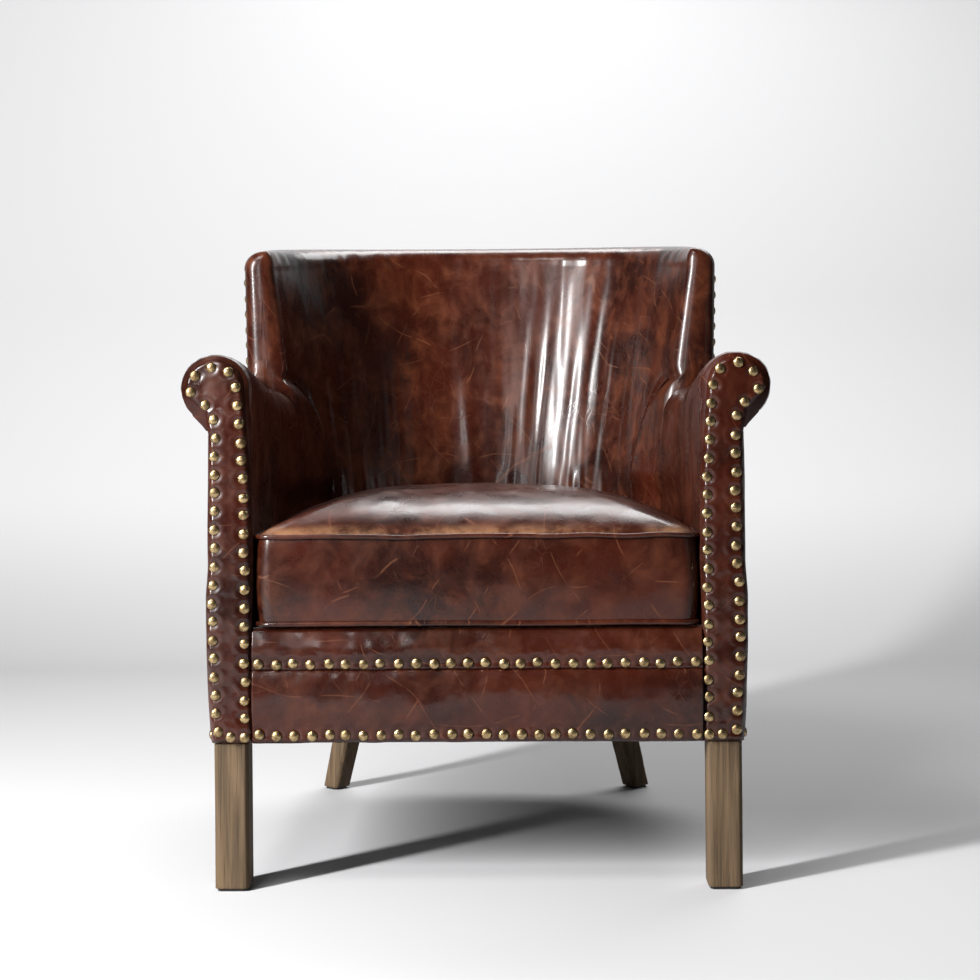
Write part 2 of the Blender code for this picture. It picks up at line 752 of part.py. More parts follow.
def back_section(nose, pinch):
    """Section of the back pad; nose fills the frame's notch over the arm, pinch rounds the wing."""
    def section(s):
        top = rim_top(s)
        round_low = top - RIM_ROUND
        arm_level = ARM_TOP - ARM_DROP
        edge = top - RIM_COVER
        points = [(inner(s, z), z) for z in (PAD_BOTTOM, mix(PAD_BOTTOM, arm_level, 0.5), arm_level,
                                             mix(arm_level, round_low, 0.5))]
        inside, outside = inner(s, round_low), outer(s, round_low)
        middle, half = (inside + outside) / 2, (inside - outside) / 2
        for angle in (0, 30, 60, 90, 120, 150, 180):
            turn = math.radians(angle)
            across = math.copysign(abs(math.cos(turn)) ** 0.8, math.cos(turn))
            points.append((middle + half * across, round_low + RIM_ROUND * math.sin(turn) ** 0.8))
        points.append((outer(s, edge), edge))
        notch = 0.0 if nose else PAD_OUT
        step = NECK + GAP
        for share in NOTCH_SHARES:
            z = mix(edge - NOTCH_STEP, step + NOTCH_STEP, share)
            points.append((outer(s, z) + notch, z))
        for z in (step, mix(step, PAD_BOTTOM, 0.5), PAD_BOTTOM):
            points.append((outer(s, z) + PAD_OUT, z))
        if pinch:
            shaped = []
            for d, z in points:
                over = smooth((z - arm_level + PINCH_START) / PINCH_RISE)
                centre = (inner(s, max(z, arm_level)) + outer(s, max(z, arm_level))) / 2
                shaped.append((mix(d, centre + (d - centre) * (1 - pinch), over), z))
            points = shaped
        return points
    return section


def make_back():
    """The inside back in one piece with both wings, round their noses."""
    body_end = S_WING - NOSE_LENGTH
    noses = [(S_WING - back, pinch) for back, pinch in NOSE_PINCHES] + [(body_end + GAP, 0.0)]
    left = [ring_at(-s, back_section(True, pinch)) for s, pinch in noses]
    middle = [ring_at(s, back_section(False, 0.0)) for s in stations(-body_end, body_end)]
    right = [ring_at(s, back_section(True, pinch)) for s, pinch in reversed(noses)]
    add("inside_back", loft(left + middle + right), "leather")


# Outer covers


def cover_section(low, high, levels):
    """Section of an outer cover between two heights, which may change along s."""
    def section(s):
        bottom, top = low(s), high(s)
        start = max([bottom, *levels])
        upper = [mix(start, top, share) for share in np.linspace(0.0, 1.0, 5)[1:]]
        heights = [bottom, *levels, *upper]
        outside = [(outer(s, z) + bulge(z), z) for z in heights]
        inside = [(outer(s, z) + COVER, z) for z in heights[::-1]]
        return outside + inside
    return section


def make_covers():
    """Outside arms, outside wings and outside back, each with its rows of nails."""
    levels = [BODY_BOTTOM + height for height in BULGE_HEIGHTS[1:-1]]
    foot = BODY_BOTTOM + NAIL_INSET

    def cover_top(s):
        return rim_top(s) - RIM_COVER - GAP

    arm = cover_section(lambda s: BODY_BOTTOM, lambda s: NECK - GAP, levels)
    wing = cover_section(lambda s: NECK + GAP, cover_top, ())
    back = cover_section(lambda s: BODY_BOTTOM, cover_top, levels)
    seam_side, seam_back = S_SEAM + GAP / 2, S_SEAM - GAP / 2
    for side, label in ((1, "right"), (-1, "left")):
        run = stations(side * seam_side, side * s_at(FRONT_Y))
        cover = add(f"outside_arm_{label}", rib_loft(run, arm), "leather_dark")
        spots = spaced([(seam_side + NAIL_INSET, foot), (s_at(FRONT_Y) - NAIL_INSET, foot)], NAIL_PITCH)
        combine(cover, nail_heads(cover_seats([(side * s, z) for s, z in spots])), "UNION")
        run = stations(side * seam_side, side * S_STILE)
        cover = add(f"outside_wing_{label}", rib_loft(run, wing), "leather_dark")
        front, top = S_STILE - NAIL_INSET, cover_top(S_STILE) - NAIL_INSET
        clear_of_roll = ARM_TOP - ARM_DROP + NAIL_PITCH
        path = [(front, clear_of_roll), (front, top)]
        path += [(s, cover_top(s) - NAIL_INSET) for s in stations(front, seam_side + NAIL_INSET)[1:]]
        spots = spaced(path, NAIL_PITCH)
        combine(cover, nail_heads(cover_seats([(side * s, z) for s, z in spots])), "UNION")
    cover = add("outside_back", rib_loft(stations(-seam_back, seam_back), back), "leather_dark")
    end = seam_back - NAIL_INSET
    top_row = [(s, cover_top(s) - NAIL_INSET) for s in stations(-end, end)]
    path = [(-end, foot), *top_row, (end, foot)]
    spots = spaced(path, NAIL_PITCH) + spaced([(-end, foot), (end, foot)], NAIL_PITCH)[1:-1]
    combine(cover, nail_heads(cover_seats(spots)), "UNION")


# Seat


def make_front():
    """Front band over the rail and the padded border under it, both nailed along the bottom."""
    half = SEAT_HALF - GAP
    band_low = DECK_TOP - BAND_HEIGHT
    band = [(FACING_THICK, band_low), (FOLD, band_low), (BAND_FACE, band_low + FOLD),
            (BAND_FACE, DECK_TOP - BAND_ROUND), (FOLD, DECK_TOP - FOLD), (FACING_THICK, DECK_TOP)]
    border_top = band_low - GAP
    middle = (BODY_BOTTOM + border_top) / 2
    border = [(FACING_THICK, BODY_BOTTOM), (FOLD, BODY_BOTTOM), (BORDER_FACE, BODY_BOTTOM + FOLD),
              (BORDER_FACE, BODY_BOTTOM + 2 * NAIL_INSET), (BORDER_FACE - BORDER_BULGE, middle + FOLD),
              (BORDER_FACE - BORDER_BULGE / 2, border_top - BORDER_ROUND), (FOLD, border_top),
              (FACING_THICK, border_top)]
    rows = (("front_band", band, BAND_FACE, band_low), ("front_border", border, BORDER_FACE, BODY_BOTTOM))
    for name, outline, front, low in rows:
        body = loft([[Vector((x, y, z)) for y, z in outline] for x in (-half, half)])
        piece = add(name, body, "leather")
        z = low + NAIL_INSET
        end = half - NAIL_INSET
        spots = spaced([(-end, z), (end, z)], NAIL_PITCH)
        seats = [(Vector((x, front, height)), Vector((0.0, -1.0, 0.0))) for x, height in spots]
        combine(piece, nail_heads(seats), "UNION")


def make_deck():
    """Felt-covered platform on the webbing, under the cushion and the pads."""
    run = bend_stations(-s_at(FRONT_Y), s_at(FRONT_Y))
    outline = [place(s, outer(s, DECK_BOTTOM) + PAD_OUT, 0.0)[:2] for s in run]
    add("seat_deck", prism(outline, DECK_BOTTOM, DECK_TOP), "felt")


def cushion_outline(grow):
    """Plan of the cushion between the arms and the back, grown outwards by an amount."""
    clear = CUSHION_CLEAR - grow
    sides = [s for s in bend_stations(0.0, s_at(CUSHION_CORNER), SEAT_STRAIGHT) if s > 0.0]
    right = [place(s, rib(s)[4] + clear, 0.0) for s in sides]
    rear = place(0.0, rib(0.0)[4] + clear, 0.0)
    corner = []
    half, radius = SEAT_HALF - clear, CUSHION_CORNER
    for angle in (30, 60, 90):
        turn = math.radians(angle)
        corner.append((half - radius * (1 - math.cos(turn)), -grow + radius * (1 - math.sin(turn))))
    right = [(point.x, point.y) for point in right] + corner
    return [(rear.x, rear.y), *right, *[(-x, y) for x, y in reversed(right)]]


def make_cushion():
    """Box cushion with a welt round each seam and a crowned top."""
    base = DECK_TOP + GAP
    seam = base + CUSHION_SIDE
    welt = WELT_RADIUS - WELT_SINK
    profile = [(-CUSHION_UNDERCUT, base), (0.0, base + WELT_RADIUS / 2), (welt, base + 1.5 * WELT_RADIUS),
               (0.0, base + 2.6 * WELT_RADIUS), (WELT_RADIUS, mix(base, seam, 0.5)),
               (0.0, seam - 1.3 * WELT_RADIUS), (welt, seam - WELT_SINK), (0.0, seam + WELT_RADIUS)]
    rings = [[Vector((x, y, z)) for x, y in cushion_outline(grow)] for grow, z in profile]
    rim = rings[-1]
    centre = Vector((0.0, (BODY_DEPTH - BACK_THICK) * CUSHION_CENTRE, 0.0))
    crown = CUSHION_CROWN - WELT_RADIUS
    for share in (0.90, 0.72, 0.50, 0.25):
        ring = []
        for point in rim:
            x, y = mix(centre.x, point.x, share), mix(centre.y, point.y, share)
            ring.append(Vector((x, y, seam + WELT_RADIUS + crown * (1 - share ** CROWN_POWER))))
        rings.append(ring)
    add("seat_cushion", loft(rings), "leather")


def make_dust_cover():
    """Black cloth under the frame, cut round the legs."""
    run = bend_stations(-s_at(DUST_INSET), s_at(DUST_INSET))
    outline = [place(s, DUST_INSET, 0.0)[:2] for s in run]
    cover = add("dust_cover", prism(outline, LEG_TOP - DUST_THICK, LEG_TOP), "dust_cloth")
    for side in (1, -1):
        for rear in (False, True):
            outline = [point[:2] for point in leg_ring(side, rear, LEG_TOP, DUST_LEG_CLEAR)]
            cutter = prism(outline, LEG_TOP - DUST_CUTTER, LEG_TOP + DUST_CUTTER)
            combine(cover, cutter, "DIFFERENCE")


def centre_footprint():
    """Move the root so that the origin lies under the middle of the chair."""
    bpy.context.view_layer.update()
    ys = [(obj.matrix_world @ vertex.co).y for obj in ROOT.children for vertex in obj.data.vertices]
    ROOT.location.y = -(min(ys) + max(ys)) / 2
    bpy.context.view_layer.update()


clear_scene()
FINISHES = make_materials()
ROOT = bpy.data.objects.new("club_chair", None)
bpy.context.scene.collection.objects.link(ROOT)
for leg_side in (1, -1):
    for at_rear in (False, True):
        make_leg(leg_side, at_rear)
make_frame()
make_webbing()
make_arms()
make_back()
make_covers()
make_front()
make_deck()
make_cushion()
make_dust_cover()
centre_footprint()
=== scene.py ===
"""Looks of the worn club chair: waxed creased leather, brass nails, brushed wood, studio light."""
import json
import math
import random

import bmesh
import bpy
import numpy as np
from mathutils import Matrix, Vector


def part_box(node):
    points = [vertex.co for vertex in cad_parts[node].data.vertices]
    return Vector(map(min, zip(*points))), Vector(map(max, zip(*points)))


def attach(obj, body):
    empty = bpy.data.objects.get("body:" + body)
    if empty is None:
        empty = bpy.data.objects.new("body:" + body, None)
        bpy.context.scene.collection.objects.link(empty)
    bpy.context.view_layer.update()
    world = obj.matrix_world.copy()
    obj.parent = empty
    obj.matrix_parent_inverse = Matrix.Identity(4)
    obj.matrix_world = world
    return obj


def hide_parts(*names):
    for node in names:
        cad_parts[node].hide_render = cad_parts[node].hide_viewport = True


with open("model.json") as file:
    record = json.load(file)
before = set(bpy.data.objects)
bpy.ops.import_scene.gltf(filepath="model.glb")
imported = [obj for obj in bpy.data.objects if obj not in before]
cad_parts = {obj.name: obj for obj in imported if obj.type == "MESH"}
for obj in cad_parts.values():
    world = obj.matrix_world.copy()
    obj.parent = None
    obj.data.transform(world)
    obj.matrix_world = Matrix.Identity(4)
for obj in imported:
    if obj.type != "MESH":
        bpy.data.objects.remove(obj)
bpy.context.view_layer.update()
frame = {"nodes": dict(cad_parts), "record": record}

BODY = "root"

# Camera, from the photo: heights and distances in metres, its frame taken as 980 pixels wide
PHOTO_PIXELS = 980.0
HORIZON_PIXEL = 415.0
CAMERA_X = 0.045
CAMERA_Z = 0.580
CAMERA_TO_FRONT = 2.20
CAMERA_LENS = 66.5
CAMERA_SENSOR = 36.0
CAMERA_YAW = math.radians(0.70)
CAMERA_ROLL = math.radians(-0.42)

# Sizes shared with the frame, in metres
GAP = 0.0003
FACING_THICK = 0.0080
NECK_DOWN = 0.0935
FRONT_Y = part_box("seat_rail_front")[0][1] - FACING_THICK - GAP
BODY_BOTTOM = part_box("seat_rail_front")[0][2]
DECK_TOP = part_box("seat_deck")[1][2]
ARM_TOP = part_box("arm_pad_right")[1][2]
BACK_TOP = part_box("inside_back")[1][2]
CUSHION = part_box("seat_cushion")
NECK = ARM_TOP - NECK_DOWN
PAD_BOTTOM = DECK_TOP + GAP

# Plan of the body, with y from its front
BODY_HALF = 0.3286
BODY_DEPTH = 0.6550
SIDE_STRAIGHT = 0.3500
BODY_EXPONENT = 2.5
BACK_LEAN = 0.0650
WING_FLARE = 0.0111
LEAN_START_Y = 0.1000
ARM_THICK = 0.0541
SEAT_HALF = BODY_HALF - ARM_THICK
BACK_THICK = 0.1100
WING_THICK = 0.0367
RIM_THICK = 0.0900
SEAT_STRAIGHT = 0.2000
RIM_STRAIGHT = 0.3000
INNER_EXPONENT = 2.35
RECEDE_POWER = 1.5
WING_FRONT = 0.3700
NOSE_LENGTH = 0.0125
SEAM_IN = 0.0650
CURVE_STEPS = 90
SIDE_STEPS = 40
DEPTH_RANGE = (-0.12, 0.20)
DEPTH_HALVINGS = 34

# Rim of the back and the outer covers
RIM_FALL = 0.0918
RIM_ROUND = 0.0290
RIM_COVER = 0.0320
COVER = 0.0040
COVER_FRONT = 0.0083
PAD_OUT = 0.0324
BULGE_HEIGHTS = (0.0, 0.0485, 0.1185, 0.1785, 0.2185, 0.3685)
BULGE_DEPTHS = (0.0030, 0.0, -0.0031, -0.0031, 0.0, 0.0012)

# How far the wings are drawn in: where that starts and over what run, by x, y and z
WING_TUCK = 0.0032
TUCK_START_X = 0.26
TUCK_RUN_X = 0.05
TUCK_START_Y = 0.25
TUCK_RUN_Y = 0.08
TUCK_RUN_Z = 0.02
NOSE_TUCK = 0.5
NOSE_TUCK_RUN = 0.004

# Arm padding beside the crease that parts it from the back
CREASE_BACK = 0.4900
CREASE_TOP = 0.0250
ARM_SWELL = 0.0110
SWELL_EDGE = 0.24
SWELL_START_Y = 0.16
SWELL_RUN_Y = 0.20
SWELL_START_Z = 0.455
SWELL_RUN_Z = 0.04
GROOVE_DEPTH = 0.0036
GROOVE_LEVEL = 1.03
GROOVE_WIDTH = 0.08

# Arm rolls, shoulders and the tails behind them
ROLL_RADIUS = 0.0420
ROLL_IN = 0.0101
ROLL_TUCK = 0.0450
ARM_DROP = 0.0190
SHOULDER_FRONT = 0.0420
SHOULDER_BACK = 0.0500
SHOULDER_SLOPE = 0.0180
TAIL_LENGTH = 0.1500
TAIL_TIP = 0.0060

# Nails
NAIL_RADIUS = 0.0065
NAIL_HEIGHT = 0.0038
NAIL_PITCH = 0.0225
NAIL_INSET = 0.0085
NAIL_SIDES = 20
NAIL_TILT = 5.0
NAIL_SPREAD = 0.03


def mix(a, b, t):
    """Value between a and b."""
    return a + (b - a) * t


def smooth(t):
    """Smooth step from 0 to 1, for numbers and arrays."""
    t = np.clip(t, 0.0, 1.0)
    return t * t * (3.0 - 2.0 * t)


def hump(x, centre, width):
    """Bell of height 1 round a centre."""
    return np.exp(-((x - centre) / width) ** 2)


class Noise:
    """Seeded value noise from -1 to 1. Its arguments are a place times the waves for each metre."""

    SIZE = 64

    def __init__(self, seed):
        self.table = np.random.default_rng(seed).uniform(-1.0, 1.0, (self.SIZE, self.SIZE))

    def __call__(self, x, y):
        x, y = np.broadcast_arrays(np.asarray(x, float), np.asarray(y, float))
        i, j = np.floor(x).astype(int), np.floor(y).astype(int)
        u, v = smooth(x - i), smooth(y - j)
        i0, i1 = i % self.SIZE, (i + 1) % self.SIZE
        j0, j1 = j % self.SIZE, (j + 1) % self.SIZE
        near = mix(self.table[i0, j0], self.table[i1, j0], u)
        far = mix(self.table[i0, j1], self.table[i1, j1], u)
        return mix(near, far, v)


# Plan curve and ribs: s runs along the plan curve, d inward from it, and z upward


def inside_plan(x, y, half, straight, depth, exponent):
    """True within a plan with straight sides and a superellipse behind them."""
    if y <= straight:
        return x < half
    return (max(x, 0.0) / half) ** exponent + ((y - straight) / (depth - straight)) ** exponent < 1.0


def depth_to(point, inward, plan):
    """Depth at which the rib from point crosses another plan curve."""
    low, high = DEPTH_RANGE
    for _ in range(DEPTH_HALVINGS):
        middle = (low + high) / 2
        if inside_plan(point[0] + inward[0] * middle, point[1] + inward[1] * middle, *plan):
            high = middle
        else:
            low = middle
    return (low + high) / 2


def plan_points():
    """Points from the middle of the rear to the front on +X, each with its inward normal."""
    reach = BODY_DEPTH - SIDE_STRAIGHT
    power = 2.0 / BODY_EXPONENT
    points = []
    for step in range(CURVE_STEPS + 1):
        angle = (1.0 - step / CURVE_STEPS) * math.pi / 2
        across = max(math.cos(angle), 0.0) ** power
        along = max(math.sin(angle), 0.0) ** power
        out = Vector((across ** (BODY_EXPONENT - 1) / BODY_HALF, along ** (BODY_EXPONENT - 1) / reach))
        out.normalize()
        points.append((BODY_HALF * across, SIDE_STRAIGHT + reach * along, -out.x, -out.y))
    for step in range(1, SIDE_STEPS + 1):
        points.append((BODY_HALF, SIDE_STRAIGHT * (1.0 - step / SIDE_STEPS), -1.0, 0.0))
    return points


def plan_table():
    """Rows of s, x, y, inward x and y, and the depths of seat, inner rim and outer rim."""
    top_half, top_depth = BODY_HALF + WING_FLARE, BODY_DEPTH + BACK_LEAN
    plans = ((SEAT_HALF, SEAT_STRAIGHT, BODY_DEPTH - BACK_THICK, INNER_EXPONENT),
             (top_half - WING_THICK, RIM_STRAIGHT, top_depth - RIM_THICK, INNER_EXPONENT),
             (top_half, SIDE_STRAIGHT, top_depth, BODY_EXPONENT))
    points = plan_points()
    rows, s, last = [], 0.0, points[0]
    for point in points:
        s += math.hypot(point[0] - last[0], point[1] - last[1])
        last = point
        rows.append((s, *point, *(depth_to(point[:2], point[2:], plan) for plan in plans)))
    return np.array(rows).T


PLAN = plan_table()
PLAN_S, PLAN_X, PLAN_Y, INWARD_X, INWARD_Y, SEAT_DEPTH, INNER_RIM, OUTER_RIM = range(8)


def column(s, index):
    """One column of the plan table at s."""
    return np.interp(np.abs(s), PLAN[PLAN_S], PLAN[index])


def s_at(y):
    """Distance along the plan curve where it reaches y, on the +X side."""
    return float(np.interp(-y, -PLAN[PLAN_Y], PLAN[PLAN_S]))


S_WING = s_at(WING_FRONT)
S_SEAM = s_at(BODY_DEPTH - SEAM_IN)
S_STILE = S_WING - NOSE_LENGTH - GAP
S_CREASE = s_at(CREASE_BACK)
CREASE_RISE = ARM_TOP - CREASE_TOP - DECK_TOP


def place(s, d, z):
    """Points in the frame at rib coordinates, as an array with a last axis of 3."""
    s, d, z = np.broadcast_arrays(np.asarray(s, float), np.asarray(d, float), np.asarray(z, float))
    side = np.where(s < 0, -1.0, 1.0)
    x = side * (column(s, PLAN_X) + column(s, INWARD_X) * d)
    y = column(s, PLAN_Y) + column(s, INWARD_Y) * d
    return np.stack((x, y + FRONT_Y, z), axis=-1)


def rim_top(s):
    """Height of the back's top edge."""
    return BACK_TOP - RIM_FALL * (BODY_DEPTH - column(s, PLAN_Y))


def wing_tuck(s, z):
    """How far the wings' outer face is drawn in over the arms."""
    at_side = smooth((column(s, PLAN_X) - TUCK_START_X) / TUCK_RUN_X)
    at_wing = smooth((column(s, PLAN_Y) - TUCK_START_Y) / TUCK_RUN_Y)
    nose = smooth((np.abs(s) - S_STILE) / NOSE_TUCK_RUN)
    return WING_TUCK * at_side * at_wing * smooth((z - NECK) / TUCK_RUN_Z) * (1.0 + NOSE_TUCK * nose)


def outer(s, z):
    """Depth of the outer face of the frame."""
    fade = smooth((column(s, PLAN_Y) - LEAN_START_Y) / (WING_FRONT - LEAN_START_Y))
    rise = np.maximum((z - BODY_BOTTOM) / (rim_top(s) - BODY_BOTTOM), 0.0)
    return column(s, OUTER_RIM) * fade * rise + wing_tuck(s, z)


def inner(s, z):
    """Depth of the back's inner face."""
    rise = np.maximum((z - DECK_TOP) / (rim_top(s) - DECK_TOP), 0.0)
    return mix(column(s, SEAT_DEPTH), column(s, INNER_RIM), rise ** RECEDE_POWER)


def crease_level(s, z):
    """1 on the crease between arm and back, less on the arm's side and more on the back's."""
    back = np.maximum((S_WING - np.abs(s)) / (S_WING - S_CREASE), 0.0)
    rise = np.maximum((z - DECK_TOP) / CREASE_RISE, 0.0)
    return back ** 3 + rise ** 3


def arm_swell(s, z):
    """How far the arm's padding stands in front of the back's face, with the crease beside it."""
    level = crease_level(s, z)
    high = smooth((z - SWELL_START_Z) / SWELL_RUN_Z)
    behind = smooth((column(s, PLAN_Y) - SWELL_START_Y) / SWELL_RUN_Y)
    groove = GROOVE_DEPTH * hump(level, GROOVE_LEVEL, GROOVE_WIDTH) * (np.abs(s) < S_WING + 0.001)
    return (ARM_SWELL * smooth((1.0 - level) / SWELL_EDGE) * behind - groove) * high


def bulge(z):
    """How far the outer cover lies in from the frame line at a height."""
    return np.interp(z - BODY_BOTTOM, BULGE_HEIGHTS, BULGE_DEPTHS)


# Mesh helpers


def new_object(name, vertices, faces, material):
    """Mesh object from points and faces, shaded smooth."""
    mesh = bpy.data.meshes.new(name)
    mesh.from_pydata(np.asarray(vertices, float).tolist(), [], faces)
    body = bmesh.new()
    body.from_mesh(mesh)
    bmesh.ops.recalc_face_normals(body, faces=body.faces)
    body.to_mesh(mesh)
    body.free()
    mesh.shade_smooth()
    return linked(name, mesh, material)


def linked(name, data, material):
    """Object in the scene from a mesh or a curve, with its material."""
    data.materials.clear()
    data.materials.append(material)
    obj = bpy.data.objects.new(name, data)
    bpy.context.scene.collection.objects.link(obj)
    return obj


def ring_faces(count, size):
    """Faces of a closed skin through count rings of size points, with its two caps."""
    faces = []
    for i in range(count - 1):
        for j in range(size):
            k = (j + 1) % size
            faces.append((i * size + j, i * size + k, (i + 1) * size + k, (i + 1) * size + j))
    faces.append(tuple(range(size))[::-1])
    faces.append(tuple((count - 1) * size + j for j in range(size)))
    return faces


def tube_grid(name, rings, material):
    """Closed mesh through rings, each an array of points, with capped ends."""
    rings = np.asarray(rings)
    count, size = rings.shape[:2]
    return new_object(name, rings.reshape(-1, 3), ring_faces(count, size), material)


def tube(name, path, radius, material, closed=False, sides=10):
    """Round cord along a path of points."""
    curve = bpy.data.curves.new(name, "CURVE")
    curve.dimensions = "3D"
    curve.bevel_depth = radius
    curve.bevel_resolution = sides // 4
    curve.use_fill_caps = not closed
    spline = curve.splines.new("POLY")
    spline.points.add(len(path) - 1)
    for point, co in zip(spline.points, path):
        point.co = (*map(float, co), 1.0)
    spline.use_cyclic_u = closed
    return linked(name, curve, material)


def finish_piece(obj, nodes=()):
    """Attach a piece to the body, and hide the frame's nodes that it replaces."""
    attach(obj, BODY)
    if nodes:
        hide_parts(*nodes)


def padded_skin(name, rings, material, nodes):
    """Leather through rings, in place of the nodes."""
    finish_piece(tube_grid(name, rings, material), nodes)


def spaced(path, pitch):
    """Points at an even spacing along a path, ends included."""
    points = np.array(path, dtype=float)
    run = np.concatenate(((0.0,), np.cumsum(np.linalg.norm(np.diff(points, axis=0), axis=1))))
    count = max(int(round(run[-1] / pitch)), 1)
    wanted = np.linspace(0.0, run[-1], count + 1)
    return np.stack([np.interp(wanted, run, points[:, i]) for i in range(points.shape[1])], axis=-1)


def remeshed(obj, voxel):
    """Apply a voxel remesh to an object's mesh."""
    modifier = obj.modifiers.new("Remesh", "REMESH")
    modifier.mode = "VOXEL"
    modifier.voxel_size = voxel
    modifier.use_smooth_shade = True
    bpy.context.view_layer.update()
    result = bpy.data.meshes.new_from_object(obj.evaluated_get(bpy.context.evaluated_depsgraph_get()))
    obj.modifiers.clear()
    obj.data = result


def get_points(obj):
    """Vertices of a mesh as an array."""
    flat = np.empty(len(obj.data.vertices) * 3)
    obj.data.vertices.foreach_get("co", flat)
    return flat.reshape(-1, 3)


def set_points(obj, points):
    """Write an array back to a mesh's vertices."""
    obj.data.vertices.foreach_set("co", np.asarray(points, float).ravel())
    obj.data.update()
    obj.data.shade_smooth()


# Materials

LEATHER_DEEP = (0.013, 0.0028, 0.0016)
LEATHER_BODY = (0.046, 0.0078, 0.0032)
LEATHER_WARM = (0.115, 0.0300, 0.0115)
LEATHER_SCUFF = (0.230, 0.0820, 0.0370)
LEATHER_RUB = (0.330, 0.1650, 0.0850)
OAK_TONES = ((0.102, 0.067, 0.038), (0.180, 0.118, 0.066), (0.055, 0.035, 0.020))
BEECH_TONES = ((0.42, 0.30, 0.18), (0.55, 0.41, 0.26), (0.30, 0.20, 0.11))
BRASS_BRIGHT = (0.46, 0.34, 0.175)
BRASS_DULL = (0.19, 0.125, 0.060)
CLOTH_BLACK = (0.030, 0.030, 0.032)

# Scratches: turn of their direction, spacing in metres, width and how sparse they are
SCRATCHES = ((0.55, 0.060, 0.018, 0.50), (-0.85, 0.045, 0.022, 0.52), (2.1, 0.070, 0.015, 0.50))


class Nodes:
    """A new material, with short names for making its nodes. A scale is waves for each metre."""

    def __init__(self, name):
        self.material = bpy.data.materials.new(name)
        self.material.use_nodes = True
        self.tree = self.material.node_tree
        self.shader = self.tree.nodes["Principled BSDF"]
        self.object = self.tree.nodes.new("ShaderNodeTexCoord").outputs["Object"]

    def put(self, socket, value):
        """Link an output to a socket, or set the socket's value."""
        if hasattr(value, "is_output"):
            self.tree.links.new(value, socket)
        elif socket.type == "RGBA":
            socket.default_value = (*value, 1.0)
        else:
            socket.default_value = value

    def add(self, kind, inputs, **settings):
        """New node with its settings, then its inputs by name or number."""
        node = self.tree.nodes.new(kind)
        for key, value in settings.items():
            setattr(node, key, value)
        for key, value in inputs.items():
            self.put(node.inputs[key], value)
        return node

    def finish(self, **values):
        """Give the shader its inputs, with spaces for the underscores in their names."""
        for key, value in values.items():
            self.put(self.shader.inputs[key.replace("_", " ")], value)
        return self.material

    def mapping(self, **values):
        return self.add("ShaderNodeMapping", {"Vector": self.object, **values}).outputs["Vector"]

    def noise(self, scale, detail=3.0, rough=0.5, vector=None, distortion=0.0):
        values = {"Scale": scale, "Detail": detail, "Roughness": rough, "Distortion": distortion}
        return self.add("ShaderNodeTexNoise", {**values, "Vector": vector or self.object}).outputs["Fac"]

    def voronoi(self, scale, feature="F1", vector=None):
        values = {"Scale": scale, "Vector": vector or self.object}
        return self.add("ShaderNodeTexVoronoi", values, feature=feature).outputs["Distance"]

    def along(self, axis, vector=None):
        return self.add("ShaderNodeSeparateXYZ", {"Vector": vector or self.object}).outputs[axis]

    def ramp(self, value, low, high, start=0.0, end=1.0):
        """Smooth ramp from start to end as value goes from low to high."""
        values = {"From Min": low, "From Max": high, "To Min": start, "To Max": end, "Value": value}
        node = self.add("ShaderNodeMapRange", values, clamp=True, interpolation_type="SMOOTHSTEP")
        return node.outputs["Result"]

    def math(self, operation, a, b=0.5):
        return self.add("ShaderNodeMath", {0: a, 1: b}, operation=operation).outputs[0]

    def times(self, a, b):
        return self.math("MULTIPLY", a, b)

    def most(self, a, b):
        return self.math("MAXIMUM", a, b)

    def colour(self, factor, a, b):
        return self.add("ShaderNodeMix", {0: factor, 6: a, 7: b}, data_type="RGBA").outputs[2]

    def bump(self, height, strength, distance, normal=None):
        values = {"Strength": strength, "Distance": distance, "Height": height}
        if normal is not None:
            values["Normal"] = normal
        return self.add("ShaderNodeBump", values).outputs["Normal"]


def scratches(n, turn, spacing, width, sparse):
    """Sparse long scratches at a slant: thin bands across a wandering ramp, broken by noise."""
    spin = n.mapping(Rotation=(turn * 0.4, turn, turn * 0.7))
    wander = n.times(n.noise(3.5, 2.0, 0.5, spin), 3.0)
    ramp = n.math("FRACT", n.math("ADD", n.times(n.along("X", spin), 1.0 / spacing), wander))
    line = n.ramp(n.math("ABSOLUTE", n.math("SUBTRACT", ramp, 0.5)), 0.0, width, 1.0, 0.0)
    gate = n.ramp(n.noise(26.0, 2.0, 0.5, spin), sparse, sparse + 0.10)
    return n.times(line, gate)


def cracks(n):
    """Fine net of creases, in patches."""
    net = n.voronoi(70.0, "DISTANCE_TO_EDGE", n.mapping(Scale=(1.0, 1.0, 0.7)))
    patches = n.ramp(n.noise(11.0, 4.0, 0.6), 0.52, 0.68)
    return n.times(n.ramp(net, 0.0, 0.05, 1.0, 0.0), patches)


def seam_rub(n, seam):
    """Patchy band just above a seam's height, where the leather is worn pale."""
    height = n.along("Z")
    rising = n.ramp(height, seam - 0.001, seam + 0.003)
    falling = n.ramp(height, seam + 0.004, seam + 0.016, 1.0, 0.0)
    patchy = n.ramp(n.noise(16.0, 5.0, 0.7), 0.36, 0.66)
    return n.times(n.times(n.times(rising, falling), patchy), 0.75)


